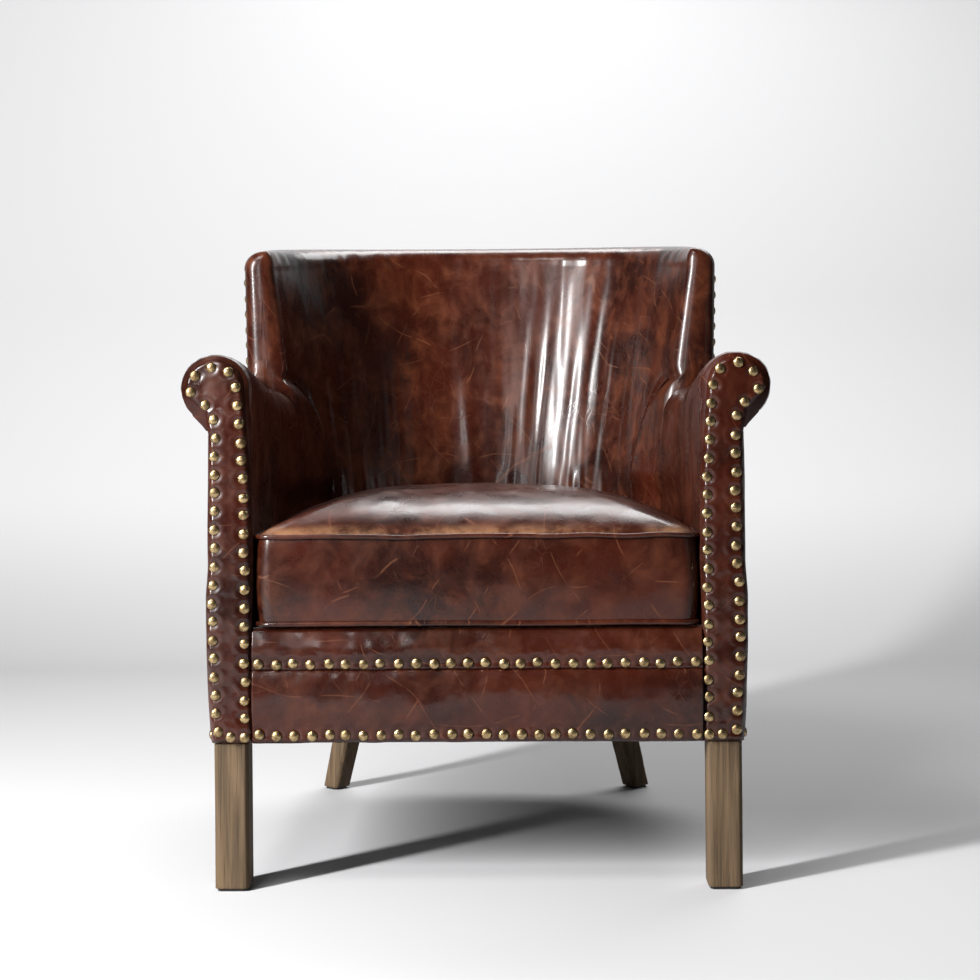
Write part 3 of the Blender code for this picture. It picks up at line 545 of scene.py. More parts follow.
def leather(name, warmth, scuff, upright=1.0, seam=None):
    """Waxed pull-up leather: mottled red-brown, fine pale scratches and creases, fine grain.

    upright stretches the mottle along Z, and seam is the height of a seam that is worn pale above it.
    """
    n = Nodes(name)
    stretched = n.mapping(Scale=(1.0, 1.0, upright))
    cloud = n.noise(6.5, 4.0, 0.60, stretched)
    blotch = n.noise(24.0, 5.0, 0.66, stretched, distortion=0.4)
    creases = cracks(n)
    marks = n.times(creases, 0.30)
    for turn, spacing, width, sparse in SCRATCHES:
        marks = n.most(marks, scratches(n, turn, spacing, width, sparse))
    wear = n.times(marks, 0.30 * scuff)
    rub = n.times(n.ramp(n.noise(38.0, 7.0, 0.72), 0.58, 0.80), 0.40 * scuff)
    tone = n.colour(n.ramp(cloud, 0.32, 0.66), LEATHER_DEEP, LEATHER_BODY)
    tone = n.colour(n.times(n.ramp(blotch, 0.40, 0.80), warmth), tone, LEATHER_WARM)
    tone = n.colour(wear, tone, LEATHER_SCUFF)
    tone = n.colour(rub, tone, LEATHER_WARM)
    if seam is not None:
        tone = n.colour(seam_rub(n, seam), tone, LEATHER_RUB)
    rough = n.math("ADD", n.ramp(blotch, 0.3, 0.75, 0.25, 0.38), n.times(wear, 0.25))
    coat_rough = n.ramp(blotch, 0.3, 0.8, 0.10, 0.22)
    skin = n.math("ADD", n.times(n.voronoi(900.0), 0.5), n.noise(420.0, 3.0, 0.6))
    normal = n.bump(skin, 0.10, 0.00018)
    normal = n.bump(n.noise(60.0, 3.0, 0.6, stretched), 0.16, 0.0008, normal)
    normal = n.bump(creases, 0.18, 0.0005, normal)
    return n.finish(Base_Color=tone, Roughness=rough, Specular_IOR_Level=0.30, Coat_Weight=0.25,
                    Coat_Roughness=coat_rough, Normal=normal, Coat_Normal=normal)


def wood(name, body, pale, dark):
    """Wire-brushed wood: open grain along Z with pale ridges and dark pores."""
    n = Nodes(name)
    rings = n.noise(130.0, 4.0, 0.6, n.mapping(Scale=(1.0, 1.0, 0.045)), distortion=0.4)
    fibres = n.noise(520.0, 3.0, 0.6, n.mapping(Scale=(1.0, 1.0, 0.02)))
    cloud = n.noise(14.0, 3.0, 0.5)
    tone = n.colour(n.ramp(rings, 0.36, 0.64), body, pale)
    tone = n.colour(n.times(n.ramp(fibres, 0.52, 0.66), 0.75), tone, dark)
    tone = n.colour(n.times(n.ramp(cloud, 0.35, 0.7), 0.35), tone, body)
    normal = n.bump(rings, 0.35, 0.0008, n.bump(fibres, 0.5, 0.0005))
    return n.finish(Base_Color=tone, Roughness=0.68, Specular_IOR_Level=0.3, Normal=normal)


def brass(name):
    """Aged brass with darker patches."""
    n = Nodes(name)
    patch = n.noise(160.0, 3.0, 0.6)
    tone = n.colour(n.ramp(patch, 0.38, 0.66), BRASS_BRIGHT, BRASS_DULL)
    rough = n.ramp(patch, 0.3, 0.7, 0.24, 0.42)
    normal = n.bump(n.noise(700.0, 2.0, 0.5), 0.10, 0.0002)
    return n.finish(Base_Color=tone, Metallic=1.0, Roughness=rough, Normal=normal)


def plain(name, colour, roughness, weave=900.0, depth=0.0004, metallic=0.0):
    """Fibrous or matt finish with a fine noise in its colour and bump."""
    n = Nodes(name)
    speck = n.noise(weave, 3.0, 0.6)
    darker = tuple(c * 0.6 for c in colour)
    tone = n.colour(n.ramp(speck, 0.3, 0.7), darker, colour)
    return n.finish(Base_Color=tone, Roughness=roughness, Metallic=metallic, Normal=n.bump(speck, 0.4, depth))


CUSHION_BASE = CUSHION[0][2]
CUSHION_SEAM = CUSHION_BASE + 0.1107

LEATHER = leather("worn_leather", 0.50, 1.0)
LEATHER_BACK = leather("worn_leather_back", 0.95, 1.1, upright=0.8)
LEATHER_CUSHION = leather("worn_leather_cushion", 0.60, 1.1, seam=CUSHION_SEAM)
LEATHER_FACING = leather("worn_leather_facing", 0.45, 0.8)
LEATHER_EDGE = leather("worn_leather_edge", 0.75, 1.6)
OAK = wood("weathered_oak", *OAK_TONES)
BRASS = brass("aged_brass")
DUST_CLOTH = plain("dust_cloth", CLOTH_BLACK, 0.95, 1100.0)


# Nails, with their profile as shares of the head's radius and height

RIM_PROFILE = ((1.0, -0.30), (1.02, 0.02), (0.985, 0.13))
DOME_ANGLES = (14, 28, 42, 56, 70, 81)
DOME_BASE = 0.10


def nail_mesh():
    """One domed head with a slight rim, its axis along +Z and its base at 0."""
    profile = list(RIM_PROFILE)
    for angle in np.radians(DOME_ANGLES):
        profile.append((math.cos(angle), DOME_BASE + (1.0 - DOME_BASE) * math.sin(angle)))
    turns = np.linspace(0, 2 * math.pi, NAIL_SIDES, False)
    rows = []
    for share, height in profile:
        radius = NAIL_RADIUS * share
        rise = np.full(NAIL_SIDES, NAIL_HEIGHT * height)
        rows.append(np.stack((radius * np.cos(turns), radius * np.sin(turns), rise), axis=-1))
    return np.concatenate(rows), ring_faces(len(profile), NAIL_SIDES)


NAIL_POINTS, NAIL_FACES = nail_mesh()


def nails(name, seats, seed):
    """One object of nail heads, each at a point with its outward direction."""
    rng = random.Random(seed)
    vertices, faces = [], []
    for point, out in seats:
        turn = Vector(out).to_track_quat("Z", "Y").to_matrix().to_4x4()
        for axis in ("X", "Y"):
            turn = turn @ Matrix.Rotation(math.radians(rng.uniform(-NAIL_TILT, NAIL_TILT)), 4, axis)
        size = Matrix.Scale(rng.uniform(1 - NAIL_SPREAD, 1 + NAIL_SPREAD), 4)
        move = np.array(Matrix.Translation(Vector(point)) @ turn @ size)
        base = len(vertices)
        vertices += list(NAIL_POINTS @ move[:3, :3].T + move[:3, 3])
        faces += [tuple(base + i for i in face) for face in NAIL_FACES]
    obj = new_object(name, vertices, faces, BRASS)
    finish_piece(obj)


def jitter(points, amount, seed):
    """Points moved a little at random, as hand-driven nails are."""
    return np.asarray(points) + np.random.default_rng(seed).uniform(-amount, amount, np.shape(points))


# Facings: outline from the scroll's arc, then heights above the body's bottom down the outer edge

FACING_RADIUS = 0.0362
FACING_WAIST = 0.1145
FACING_EDGE_IN = 0.0016
CHORD_OUT = 0.0121
CHORD_DOWN = 0.0308
FINE_ANGLES = range(180, -11, -6)
NAIL_ANGLES = (180, 152, 124, 96, 68, 40, 14, -10)
EDGE_HEIGHTS = (0.30, 0.2185, 0.1785, 0.1485, 0.1185, 0.08, 0.0485, 0.02)
NECK_EDGE = 0.006
FACING_FRONT = 0.0015
FACING_FADE = 0.0060
FACING_VOXEL = 0.0016
FACING_CROWN = 0.0032
CROWN_HALF = 0.030
EDGE_ROUND = 0.0055
EDGE_DROP = 0.0045
NAIL_LOOSE = 0.0011
NAIL_SEAT = 0.0010
RIGHT_NAILS_IN = 0.0022
CROWN_MIDDLE = (SEAT_HALF + BODY_HALF) / 2

# Nailed leather: dips at the heads, ridges between them and two sizes of waves
DIMPLE_DEPTH = 0.0010
DIMPLE_RADIUS = 0.0095
RIDGE_HEIGHT = 0.0008
RIDGE_WIDTH = 0.0040
WAVE_HEIGHT = 0.0008
RIPPLE_HEIGHT = 0.0003


def facing_outline(inset, angles):
    """Outline of a facing on the +X side in (x, z), from the bottom inside over the scroll."""
    centre_x, centre_z = BODY_HALF - ROLL_IN, ARM_TOP - ROLL_RADIUS
    radius = FACING_RADIUS - inset
    inside = SEAT_HALF + inset
    points = [(inside, BODY_BOTTOM + inset), (inside, centre_z - FACING_WAIST)]
    for angle in angles:
        turn = math.radians(angle)
        points.append((centre_x + radius * math.cos(turn), centre_z + radius * math.sin(turn)))
    points.append((centre_x + CHORD_OUT - 1.2 * inset, centre_z - CHORD_DOWN + 0.35 * inset))
    for z in (NECK - NECK_EDGE, *(BODY_BOTTOM + height for height in EDGE_HEIGHTS), BODY_BOTTOM + inset):
        points.append((BODY_HALF - float(bulge(z)) - FACING_EDGE_IN - inset, z))
    return points


def edge_distance(points, outline):
    """Distance of points from a closed outline."""
    best = np.full(len(points), 1.0)
    for a, b in zip(outline, outline[1:] + outline[:1]):
        a, b = np.array(a), np.array(b)
        t = np.clip(((points - a) @ (b - a)) / ((b - a) @ (b - a)), 0.0, 1.0)
        best = np.minimum(best, np.linalg.norm(points - (a + t[:, None] * (b - a)), axis=1))
    return best


def pucker(points, heads, noise):
    """Height of nailed leather over its flat face."""
    nearest = np.full(len(points), 1.0)
    for head in heads:
        nearest = np.minimum(nearest, np.linalg.norm(points - np.asarray(head), axis=1))
    ridges = RIDGE_HEIGHT * hump(nearest, NAIL_PITCH * 0.5, RIDGE_WIDTH)
    across, up = points[:, 0], points[:, 1]
    waves = WAVE_HEIGHT * noise(across * 42, up * 36) + RIPPLE_HEIGHT * noise(across * 95 + 9, up * 95)
    return ridges - DIMPLE_DEPTH * hump(nearest, 0.0, DIMPLE_RADIUS) + waves


def facing_crown(x):
    """Height of a facing's padding across its width."""
    return FACING_CROWN * np.clip(1.0 - ((x - CROWN_MIDDLE) / CROWN_HALF) ** 2, 0.0, 1.0)


def facing_heads(side, seed):
    """Nail heads round a facing in (x, z) on the +X side."""
    path = facing_outline(NAIL_INSET, NAIL_ANGLES)
    foot = ((path[0][0] + path[-1][0]) / 2, path[0][1])
    heads = jitter(spaced([*path, foot], NAIL_PITCH), NAIL_LOOSE, seed)
    if side > 0:
        heads[:, 0] -= RIGHT_NAILS_IN
    return heads


def make_facing(side, label, seed):
    """A padded facing over the arm's front, puckered round its nails."""
    outline = facing_outline(0.0, FINE_ANGLES)
    vertices, count = [], len(outline)
    for y in (FACING_FRONT, FACING_THICK):
        vertices += [(side * x, FRONT_Y + y, z) for x, z in outline]
    faces = [tuple(range(count)), tuple(range(count, 2 * count))]
    faces += [(i, (i + 1) % count, (i + 1) % count + count, i + count) for i in range(count)]
    obj = new_object(f"facing_leather_{label}", vertices, faces, LEATHER_FACING)
    remeshed(obj, FACING_VOXEL)
    heads = facing_heads(side, seed)
    points = get_points(obj)
    flat = np.stack((side * points[:, 0], points[:, 2]), axis=-1)
    inside = smooth(edge_distance(flat, outline) / EDGE_ROUND)
    front = smooth((FRONT_Y + FACING_THICK - points[:, 1]) / FACING_FADE)
    height = facing_crown(flat[:, 0]) + pucker(flat, heads, Noise(seed + 3)) - EDGE_DROP * (1.0 - inside)
    points[:, 1] -= front * height
    set_points(obj, points)
    finish_piece(obj, (f"arm_facing_{label}",))
    seats = []
    for x, z in heads:
        y = FRONT_Y + FACING_FRONT - facing_crown(x) + NAIL_SEAT
        seats.append(((side * x, y, z), (0.0, -1.0, 0.0)))
    nails(f"facing_nails_{label}", seats, seed)


# Front band and border

BAND_HEIGHT = 0.0520
BAND_LAP = 0.0012
BORDER_LAP = 0.003
BAND_FACE = -0.0008
BAND_SWELL = 0.0026
BAND_SET_BACK = 0.0050
BORDER_FACE = 0.0012
BORDER_SWELL = 0.0050
FRONT_NAIL_UP = 0.0035 + NAIL_INSET * 0.72
FRONT_PITCH = NAIL_PITCH * 0.96
FRONT_NAIL_LOOSE = 0.0012
FRONT_NAIL_SEAT = 0.0008
FRONT_COLUMNS = 300
FRONT_ROWS = 44
FRONT_ROUND = 0.0042
FRONT_ROUND_RUN = 0.0050
SWELL_FROM = 0.22
SET_BACK_FROM = 0.45
FRONT_WAVE = 0.0016
FRONT_RIPPLE = 0.0004
FRONT_EDGE_WAVE = 0.0008
FRONT_HALF = SEAT_HALF - GAP


def front_row(t, low, high, heads, noise, face, swell, set_back):
    """One row of points across the band or border, at a share t of its height."""
    xs = np.linspace(-FRONT_HALF, FRONT_HALF, FRONT_COLUMNS)
    z = mix(low, high, t)
    heights = np.full_like(xs, z)
    edge = min(t, 1 - t) * (high - low)
    rounding = FRONT_ROUND * (1.0 - float(smooth(edge / FRONT_ROUND_RUN)))
    rounding += set_back * float(smooth((t - SET_BACK_FROM) / (1.0 - SET_BACK_FROM)))
    rise = min(max((t - SWELL_FROM) / (1.0 - SWELL_FROM), 0.0), 1.0)
    body = swell * math.sin(math.pi * rise) ** 0.8
    soft = FRONT_WAVE * noise(xs * 13, heights * 24) + FRONT_RIPPLE * noise(xs * 45, heights * 45)
    puckers = pucker(np.stack((xs, heights), axis=-1), heads, noise)
    y = face + rounding - body - puckers - soft * (0.3 + 0.7 * math.sin(math.pi * t))
    wave = FRONT_EDGE_WAVE * noise(xs * 40 + 5, np.full_like(xs, 3.0)) * (1 - t)
    return np.stack((xs, FRONT_Y + y, heights + wave), axis=-1)


def make_front_piece(name, low, high, face, swell, set_back, seed):
    """The band or the border, with its nail row near the lower edge."""
    noise = Noise(seed)
    edge_z = low + FRONT_NAIL_UP
    ends = [(-FRONT_HALF + NAIL_INSET, edge_z), (FRONT_HALF - NAIL_INSET, edge_z)]
    heads = jitter(spaced(ends, FRONT_PITCH), FRONT_NAIL_LOOSE, seed)
    rows = []
    for step in range(FRONT_ROWS + 1):
        rows.append(front_row(step / FRONT_ROWS, low, high, heads, noise, face, swell, set_back))
    back_y = FRONT_Y + FACING_THICK - 0.0002
    low_row, high_row = (np.array([(x, back_y, z) for x in rows[0][:, 0]]) for z in (low, high))
    rings = np.array([low_row, *rows, high_row]).transpose(1, 0, 2)
    padded_skin(f"{name}_leather", rings, LEATHER, (name,))
    seats = [((x, FRONT_Y + face + FRONT_NAIL_SEAT, z), (0.0, -1.0, 0.0)) for x, z in heads]
    nails(f"{name}_nails", seats, seed)


def make_front():
    """Band over the rail and padded border under it."""
    band_low = DECK_TOP - BAND_HEIGHT
    make_front_piece("front_band", band_low - BAND_LAP, DECK_TOP,
                     BAND_FACE, BAND_SWELL, BAND_SET_BACK, 11)
    make_front_piece("front_border", BODY_BOTTOM, band_low + BORDER_LAP,
                     BORDER_FACE, BORDER_SWELL, 0.0, 12)


# Arms

ARM_FRONT = 0.0060
ARM_END_IN = 0.004
ARM_RINGS = 110
FRONT_ROLL = 0.012
FRONT_RINGS = 7
TUCK_LENGTH = 0.011
FACE_SWELL = 0.0015
FOLD_HEIGHT = 0.0011
WRINKLE_HEIGHT = 0.0005
GATHER_HEIGHT = 0.0013
GATHER_RUN = 0.07
FRONT_PUCKER = 0.0007
FRONT_PUCKER_RUN = 0.010
SKIN_RUN = 0.05
ROLL_MIDDLE_Z = ARM_TOP - ROLL_RADIUS
SEAM_RADIUS = 0.0016
SEAM_SUNK = 0.0022


def arm_face(s, z):
    """Depth of the arm's inner face."""
    share = smooth((column(s, PLAN_Y) - SEAT_STRAIGHT) / (WING_FRONT - SEAT_STRAIGHT))
    return mix(ARM_THICK, inner(s, z), share)


def arm_ring(s, tuck):
    """Fine closed section of an arm: inner face, shoulder, roll, neck, then the hidden notch."""
    share = float(smooth(column(s, PLAN_Y) / WING_FRONT))
    top = ARM_TOP - ARM_DROP * share
    middle_d, middle_z = ROLL_IN + outer(s, top), top - ROLL_RADIUS
    shoulder = mix(SHOULDER_FRONT, SHOULDER_BACK, share)
    low = top - SHOULDER_SLOPE * share - shoulder
    face_z = np.linspace(PAD_BOTTOM, low, 26)
    face_d = arm_face(s, face_z) + arm_swell(s, face_z)
    padding = FACE_SWELL * np.sin(np.pi * (face_z - PAD_BOTTOM) / (low - PAD_BOTTOM))
    bend = np.radians(np.linspace(6, 90, 15))
    roll = np.radians(np.linspace(90, -52, 34))
    neck = outer(s, NECK)
    neck_d = (neck - 0.004, neck, neck + PAD_OUT, outer(s, PAD_BOTTOM) + PAD_OUT)
    neck_z = (NECK + 0.006, NECK, NECK, PAD_BOTTOM)
    ds = np.concatenate((face_d + padding, face_d[-1] - SHOULDER_FRONT * (1 - np.cos(bend)),
                         middle_d - ROLL_RADIUS * np.cos(roll), neck_d))
    zs = np.concatenate((face_z, low + shoulder * np.sin(bend),
                         middle_z + ROLL_RADIUS * np.sin(roll), neck_z))
    around = zs > NECK + 0.02
    keep = 1 - tuck * ROLL_TUCK
    ds[around] = mix(middle_d, ds[around], keep)
    zs[around] = mix(middle_z, zs[around], keep)
    return ds, zs


def folded(s, start, ds, zs, noise):
    """An arm's section with soft folds, gathers at the wing and small puckers behind the facing."""
    along = np.full_like(ds, s)
    near_wing = smooth((S_WING + GATHER_RUN - s) / GATHER_RUN)
    push = FOLD_HEIGHT * noise(along * 26, zs * 9 + ds * 25) + WRINKLE_HEIGHT * noise(along * 75, zs * 30)
    push += GATHER_HEIGHT * near_wing * noise(along * 30 + 4, zs * 60 + ds * 60)
    push += FRONT_PUCKER * hump(s, start - FRONT_ROLL, FRONT_PUCKER_RUN) * noise(ds * 220, zs * 220)
    skin = np.ones_like(ds)
    skin[-3:] = 0.0
    push *= skin * smooth((zs - PAD_BOTTOM) / SKIN_RUN)
    out_d, out_z = ds - ROLL_IN, zs - ROLL_MIDDLE_Z
    away = np.maximum(np.hypot(out_d, out_z), 0.01)
    upper = zs > ROLL_MIDDLE_Z - 0.03
    ds = ds + np.where(upper, push * out_d / away, push * np.sign(out_d))
    zs = zs + np.where(upper, push * out_z / away, 0.0)
    return ds, zs


def make_arm(side, label, seed):
    """An arm's cover with its roll and soft folds."""
    noise = Noise(seed)
    start, end = s_at(ARM_FRONT), S_WING - ARM_END_IN
    places = [*np.linspace(start, start - FRONT_ROLL, FRONT_RINGS)[:-1],
              *np.linspace(start - FRONT_ROLL, end, ARM_RINGS)]
    rings = []
    for s in places:
        ds, zs = arm_ring(s, float(smooth(1.0 - (start - s) / TUCK_LENGTH)))
        rings.append(place(side * s, *folded(s, start, ds, zs, noise)))
    padded_skin(f"arm_leather_{label}", rings, LEATHER, (f"arm_pad_{label}",))


def make_tail(side, label):
    """The roll's tail, which narrows along the outside of the wing."""
    rings = []
    for s in np.linspace(S_WING + 0.010, S_WING - TAIL_LENGTH, 46):
        share = min(max((S_WING - s) / TAIL_LENGTH, 0.0), 1.0)
        top = mix(ARM_TOP - ARM_DROP, NECK + 0.030, share) - 0.0010
        low = mix(NECK + 0.0015, NECK + 0.010, share)
        size = mix(ROLL_RADIUS - ROLL_IN - 0.0006, TAIL_TIP, share ** 1.3) * (1.0 - 0.6 * share ** 8)
        angles = np.radians(np.linspace(0, 180, 26))
        zs = (low + top) / 2 - (top - low) / 2 * np.cos(angles)
        ds = outer(s, zs) - 0.0004 - size * np.sin(angles) ** 0.9
        back_z = np.linspace(top, low, 6)
        ds = np.concatenate((ds, outer(s, back_z) - GAP))
        rings.append(place(side * s, ds, np.concatenate((zs, back_z))))
    padded_skin(f"arm_tail_leather_{label}", rings, LEATHER, ())


def make_arm_seam(side, label):
    """Cord in the crease between the arm and the back."""
    seam = []
    for turn in np.radians(np.linspace(8, 62, 70)):
        s = S_WING - (S_WING - S_CREASE) * math.sin(turn) ** (2 / 3)
        z = DECK_TOP + CREASE_RISE * math.cos(turn) ** (2 / 3)
        seam.append(place(side * s, float(inner(s, z)) - SEAM_SUNK, z))
    cord = tube(f"arm_seam_{label}", seam, SEAM_RADIUS, LEATHER_EDGE)
    finish_piece(cord)


# Back

BACK_ROWS = 120
BACK_RINGS = 340
ROUND_ROWS = 30
NOSE_RUN = 0.0130
NOSE_DROP = 0.020
WING_DROP = 0.0015
WING_RUN = 0.10
BACK_WAVE = 0.0013
BACK_CREASE = 0.0007
BACK_RIPPLE = 0.0003
BACK_FOLD = 0.0021
FOLD_LEAN = 0.10
FOLD_REACH = 0.13
RIM_WAVE = 0.0009
RIM_WAVE_FROM = 0.06
LOW_WAVE = 0.0016
LOW_WAVE_TOP = 0.51
WAVE_RUN = 0.05
NOSE_CALM = 0.2

# Soft upright folds of the inside back: s, width, height of their middle and strength
FOLDS = ((0.075, 0.010, 0.62, 1.0), (0.105, 0.008, 0.60, 0.8), (0.050, 0.008, 0.56, 0.6),
         (-0.020, 0.010, 0.52, 0.6), (-0.075, 0.008, 0.50, 0.5), (0.165, 0.012, 0.60, 0.7),
         (0.215, 0.011, 0.70, 0.8), (0.255, 0.010, 0.62, 0.7), (-0.150, 0.012, 0.60, 0.4))


def nose_round(nose):
    """Height of a quarter circle, from 1 at nose 0 to 0 at nose 1."""
    return math.sqrt(max(1 - nose ** 2, 0.0))


def back_ring(s, nose):
    """Fine closed section of the back; nose, from 0 to 1, rounds the wing's front edge."""
    top = rim_top(s)
    wing = smooth((abs(s) - S_WING + WING_RUN) / WING_RUN)
    drop = NOSE_DROP * (1 - nose_round(nose)) + WING_DROP * wing
    round_low = top - RIM_ROUND
    inside, outside = inner(s, round_low), outer(s, round_low)
    middle = mix(outside, inside, mix(0.5, 0.74, wing))
    turn = np.radians(np.linspace(6, 180, ROUND_ROWS))
    side = np.where(turn < math.pi / 2, inside, outside)
    face_z = np.linspace(PAD_BOTTOM, round_low, BACK_ROWS)
    round_z = round_low + (RIM_ROUND - drop) * np.sin(turn) ** 0.85
    rear_z = np.linspace(top - RIM_COVER - 0.0005, NECK + 0.0008, 20)
    foot_z = np.array((NECK + GAP, PAD_BOTTOM))
    notch = 0.0 if nose > 0 else PAD_OUT
    ds = np.concatenate((inner(s, face_z), mix(middle, side, np.abs(np.cos(turn)) ** 0.95),
                         outer(s, rear_z) + notch, outer(s, foot_z) + PAD_OUT))
    zs = np.concatenate((face_z, round_z, rear_z, foot_z))
    if nose > 0:
        level = ARM_TOP - ARM_DROP
        over = smooth((zs - level + 0.015) / 0.030)
        high = np.maximum(zs, level)
        centre = (inner(s, high) + outer(s, high)) / 2
        ds = mix(ds, mix(centre, ds, mix(0.14, 1.0, nose_round(nose))), over)
    return ds, zs


def back_push(s, zs, noise):
    """Height of the waves and folds in the back's leather."""
    push = BACK_WAVE * noise(s * 13 + 20, zs * 5) + BACK_CREASE * noise(s * 38 + 3, zs * 10 + 7)
    push += BACK_RIPPLE * noise(s * 95, zs * 13)
    for centre, width, height, strength in FOLDS:
        lean = centre + FOLD_LEAN * (zs - height) * math.copysign(1.0, centre)
        push += BACK_FOLD * strength * hump(s, lean, width) * hump(zs, height, FOLD_REACH)
    rim = smooth((zs - (rim_top(s) - RIM_WAVE_FROM)) / WAVE_RUN)
    low = smooth((LOW_WAVE_TOP - zs) / WAVE_RUN)
    return push + RIM_WAVE * rim * noise(s * 60, zs * 20) + LOW_WAVE * low * noise(s * 55 + 30, zs * 12)


def make_back():
    """Inside back and wings in one mesh, with soft upright folds and rounded noses."""
    noise = Noise(41)
    end = S_WING - NOSE_RUN - 0.0006
    noses = [(S_WING - NOSE_RUN * (1 - t), t) for t in np.sin(np.radians(np.linspace(90, 8, 10)))]
    places = [(-s, t) for s, t in noses]
    places += [(s, 0.0) for s in np.linspace(-end, end, BACK_RINGS)]
    places += reversed(noses)
    rings = []
    for s, nose in places:
        ds, zs = back_ring(s, nose)
        order = np.arange(len(ds))
        skin = np.where(order < BACK_ROWS + ROUND_ROWS, smooth((zs - PAD_BOTTOM) / 0.06), 0.0)
        inward = np.where(order < BACK_ROWS + ROUND_ROWS // 2, 1.0, -1.0)
        calm = NOSE_CALM if nose > 0 else 1.0
        ds = ds + np.where(order < BACK_ROWS, arm_swell(s, zs), 0.0)
        ds = ds + back_push(s, zs, noise) * skin * inward * calm
        rings.append(place(s, ds, zs))
    padded_skin("back_leather", rings, LEATHER_BACK, ("inside_back",))


# Outer covers

COVER_ROWS = 70
COVER_TURN = 0.0022
COVER_TURN_RUN = 0.0045
COVER_WAVE = 0.0009
COVER_RIPPLE = 0.0004
COVER_NAIL_OUT = 0.0004
COVER_NAIL_LOOSE = 0.0009
COVER_SEAM = 0.0002
NECK_SEAM = 0.0004
FOOT = BODY_BOTTOM + NAIL_INSET


def at_height(z):
    """Straight edge of a cover at one height."""
    return lambda s: z


def cover_top(s):
    """Upper edge of the covers of the wings and the back."""
    return float(rim_top(s)) - RIM_COVER - GAP


def cover_piece(name, node, s_ends, z_low, z_high, seed, count):
    """A stretched outer cover with slight waves and turned-in edges."""
    noise = Noise(seed)
    s_low, s_high = s_ends
    rings = []
    for s in np.linspace(s_low, s_high, count):
        bottom, top = z_low(s), z_high(s)
        zs = np.linspace(bottom, top, COVER_ROWS)
        edge = np.minimum(zs - bottom, top - zs)
        end = min(abs(s - s_low), abs(s_high - s))
        turn = COVER_TURN * (1.0 - smooth(edge / COVER_TURN_RUN))
        turn += COVER_TURN * (1.0 - float(smooth(end / COVER_TURN_RUN)))
        wave = COVER_WAVE * noise(s * 14, zs * 9) + COVER_RIPPLE * noise(s * 50, zs * 36)
        ds = outer(s, zs) + np.minimum(bulge(zs) + turn - wave, COVER - wing_tuck(s, zs))
        ring_d = np.concatenate((ds, outer(s, zs[::-1]) + COVER))
        rings.append(place(s, ring_d, np.concatenate((zs, zs[::-1]))))
    padded_skin(name, rings, LEATHER, (node,))


def cover_nails(name, spots, seed):
    """Nails on the outer covers at spots of (s, z)."""
    seats = []
    for s, z in jitter(spots, COVER_NAIL_LOOSE, seed):
        sunk = min(float(bulge(z)), COVER - float(wing_tuck(s, z)))
        point = place(s, float(outer(s, z)) + sunk + COVER_NAIL_OUT, z)
        side = -1.0 if s < 0 else 1.0
        seats.append((tuple(point), (-side * float(column(s, INWARD_X)), -float(column(s, INWARD_Y)), 0.0)))
    nails(name, seats, seed)


def make_side_covers(side, label, seed):
    """Outside arm and wing of one side, with the nails along the foot and round the wing."""
    seam = S_SEAM + COVER_SEAM
    arm_front = s_at(COVER_FRONT)
    foot_edge, arm_edge, wing_edge = map(at_height, (BODY_BOTTOM, NECK - NECK_SEAM, NECK + NECK_SEAM))
    cover_piece(f"outside_arm_leather_{label}", f"outside_arm_{label}",
                sorted((side * seam, side * arm_front)), foot_edge, arm_edge, seed, 130)
    cover_piece(f"outside_wing_leather_{label}", f"outside_wing_{label}",
                sorted((side * seam, side * S_STILE)), wing_edge, cover_top, seed + 2, 70)
    rear, front = S_SEAM + NAIL_INSET, S_STILE - NAIL_INSET
    foot = spaced([(rear, FOOT), (arm_front - NAIL_INSET, FOOT)], NAIL_PITCH)
    path = [(front, ARM_TOP - ARM_DROP + NAIL_PITCH)]
    path += [(s, cover_top(S_STILE if s == front else s) - NAIL_INSET) for s in np.linspace(front, rear, 12)]
    spots = [(side * s, z) for s, z in (*foot, *spaced(path, NAIL_PITCH))]
    cover_nails(f"outside_nails_{label}", spots, seed)


def make_back_cover():
    """Outside back with nails on all four edges."""
    seam = S_SEAM - COVER_SEAM
    cover_piece("outside_back_leather", "outside_back", (-seam, seam), at_height(BODY_BOTTOM),
                cover_top, 66, 150)
    end = S_SEAM - NAIL_INSET
    top_row = [(s, cover_top(s) - NAIL_INSET) for s in np.linspace(-end, end, 25)]
    around = spaced([(-end, FOOT), *top_row, (end, FOOT)], NAIL_PITCH)
    foot = spaced([(-end, FOOT), (end, FOOT)], NAIL_PITCH)[1:-1]
    cover_nails("back_nails", [*around, *foot], 67)


# Cushion

CUSHION_CLEAR = 0.0055
CUSHION_CORNER = 0.022
CUSHION_MIDDLE_Y = 0.235
BASE_IN = 0.010
SIDE_RINGS = 34
SIDE_BULGE = 0.0032
SIDE_IN = 0.0008
CROWN_RINGS = 60
CROWN_LEVEL = 0.985
CROWN_WAVE = 0.0016
CROWN_RIPPLE = 0.0006
CORNER_PULL = 0.010
SEAM_PUCKER = 0.0008
SIDE_WAVE = 0.0013
SIDE_RIPPLE = 0.0006
SIDE_WAVE_LIMIT = 0.0012
WELT_RADIUS = 0.0031
WELT_OUT = 0.0012
WELT_WAVER = 0.0014
CROWN = CUSHION[1][2] - CUSHION_SEAM


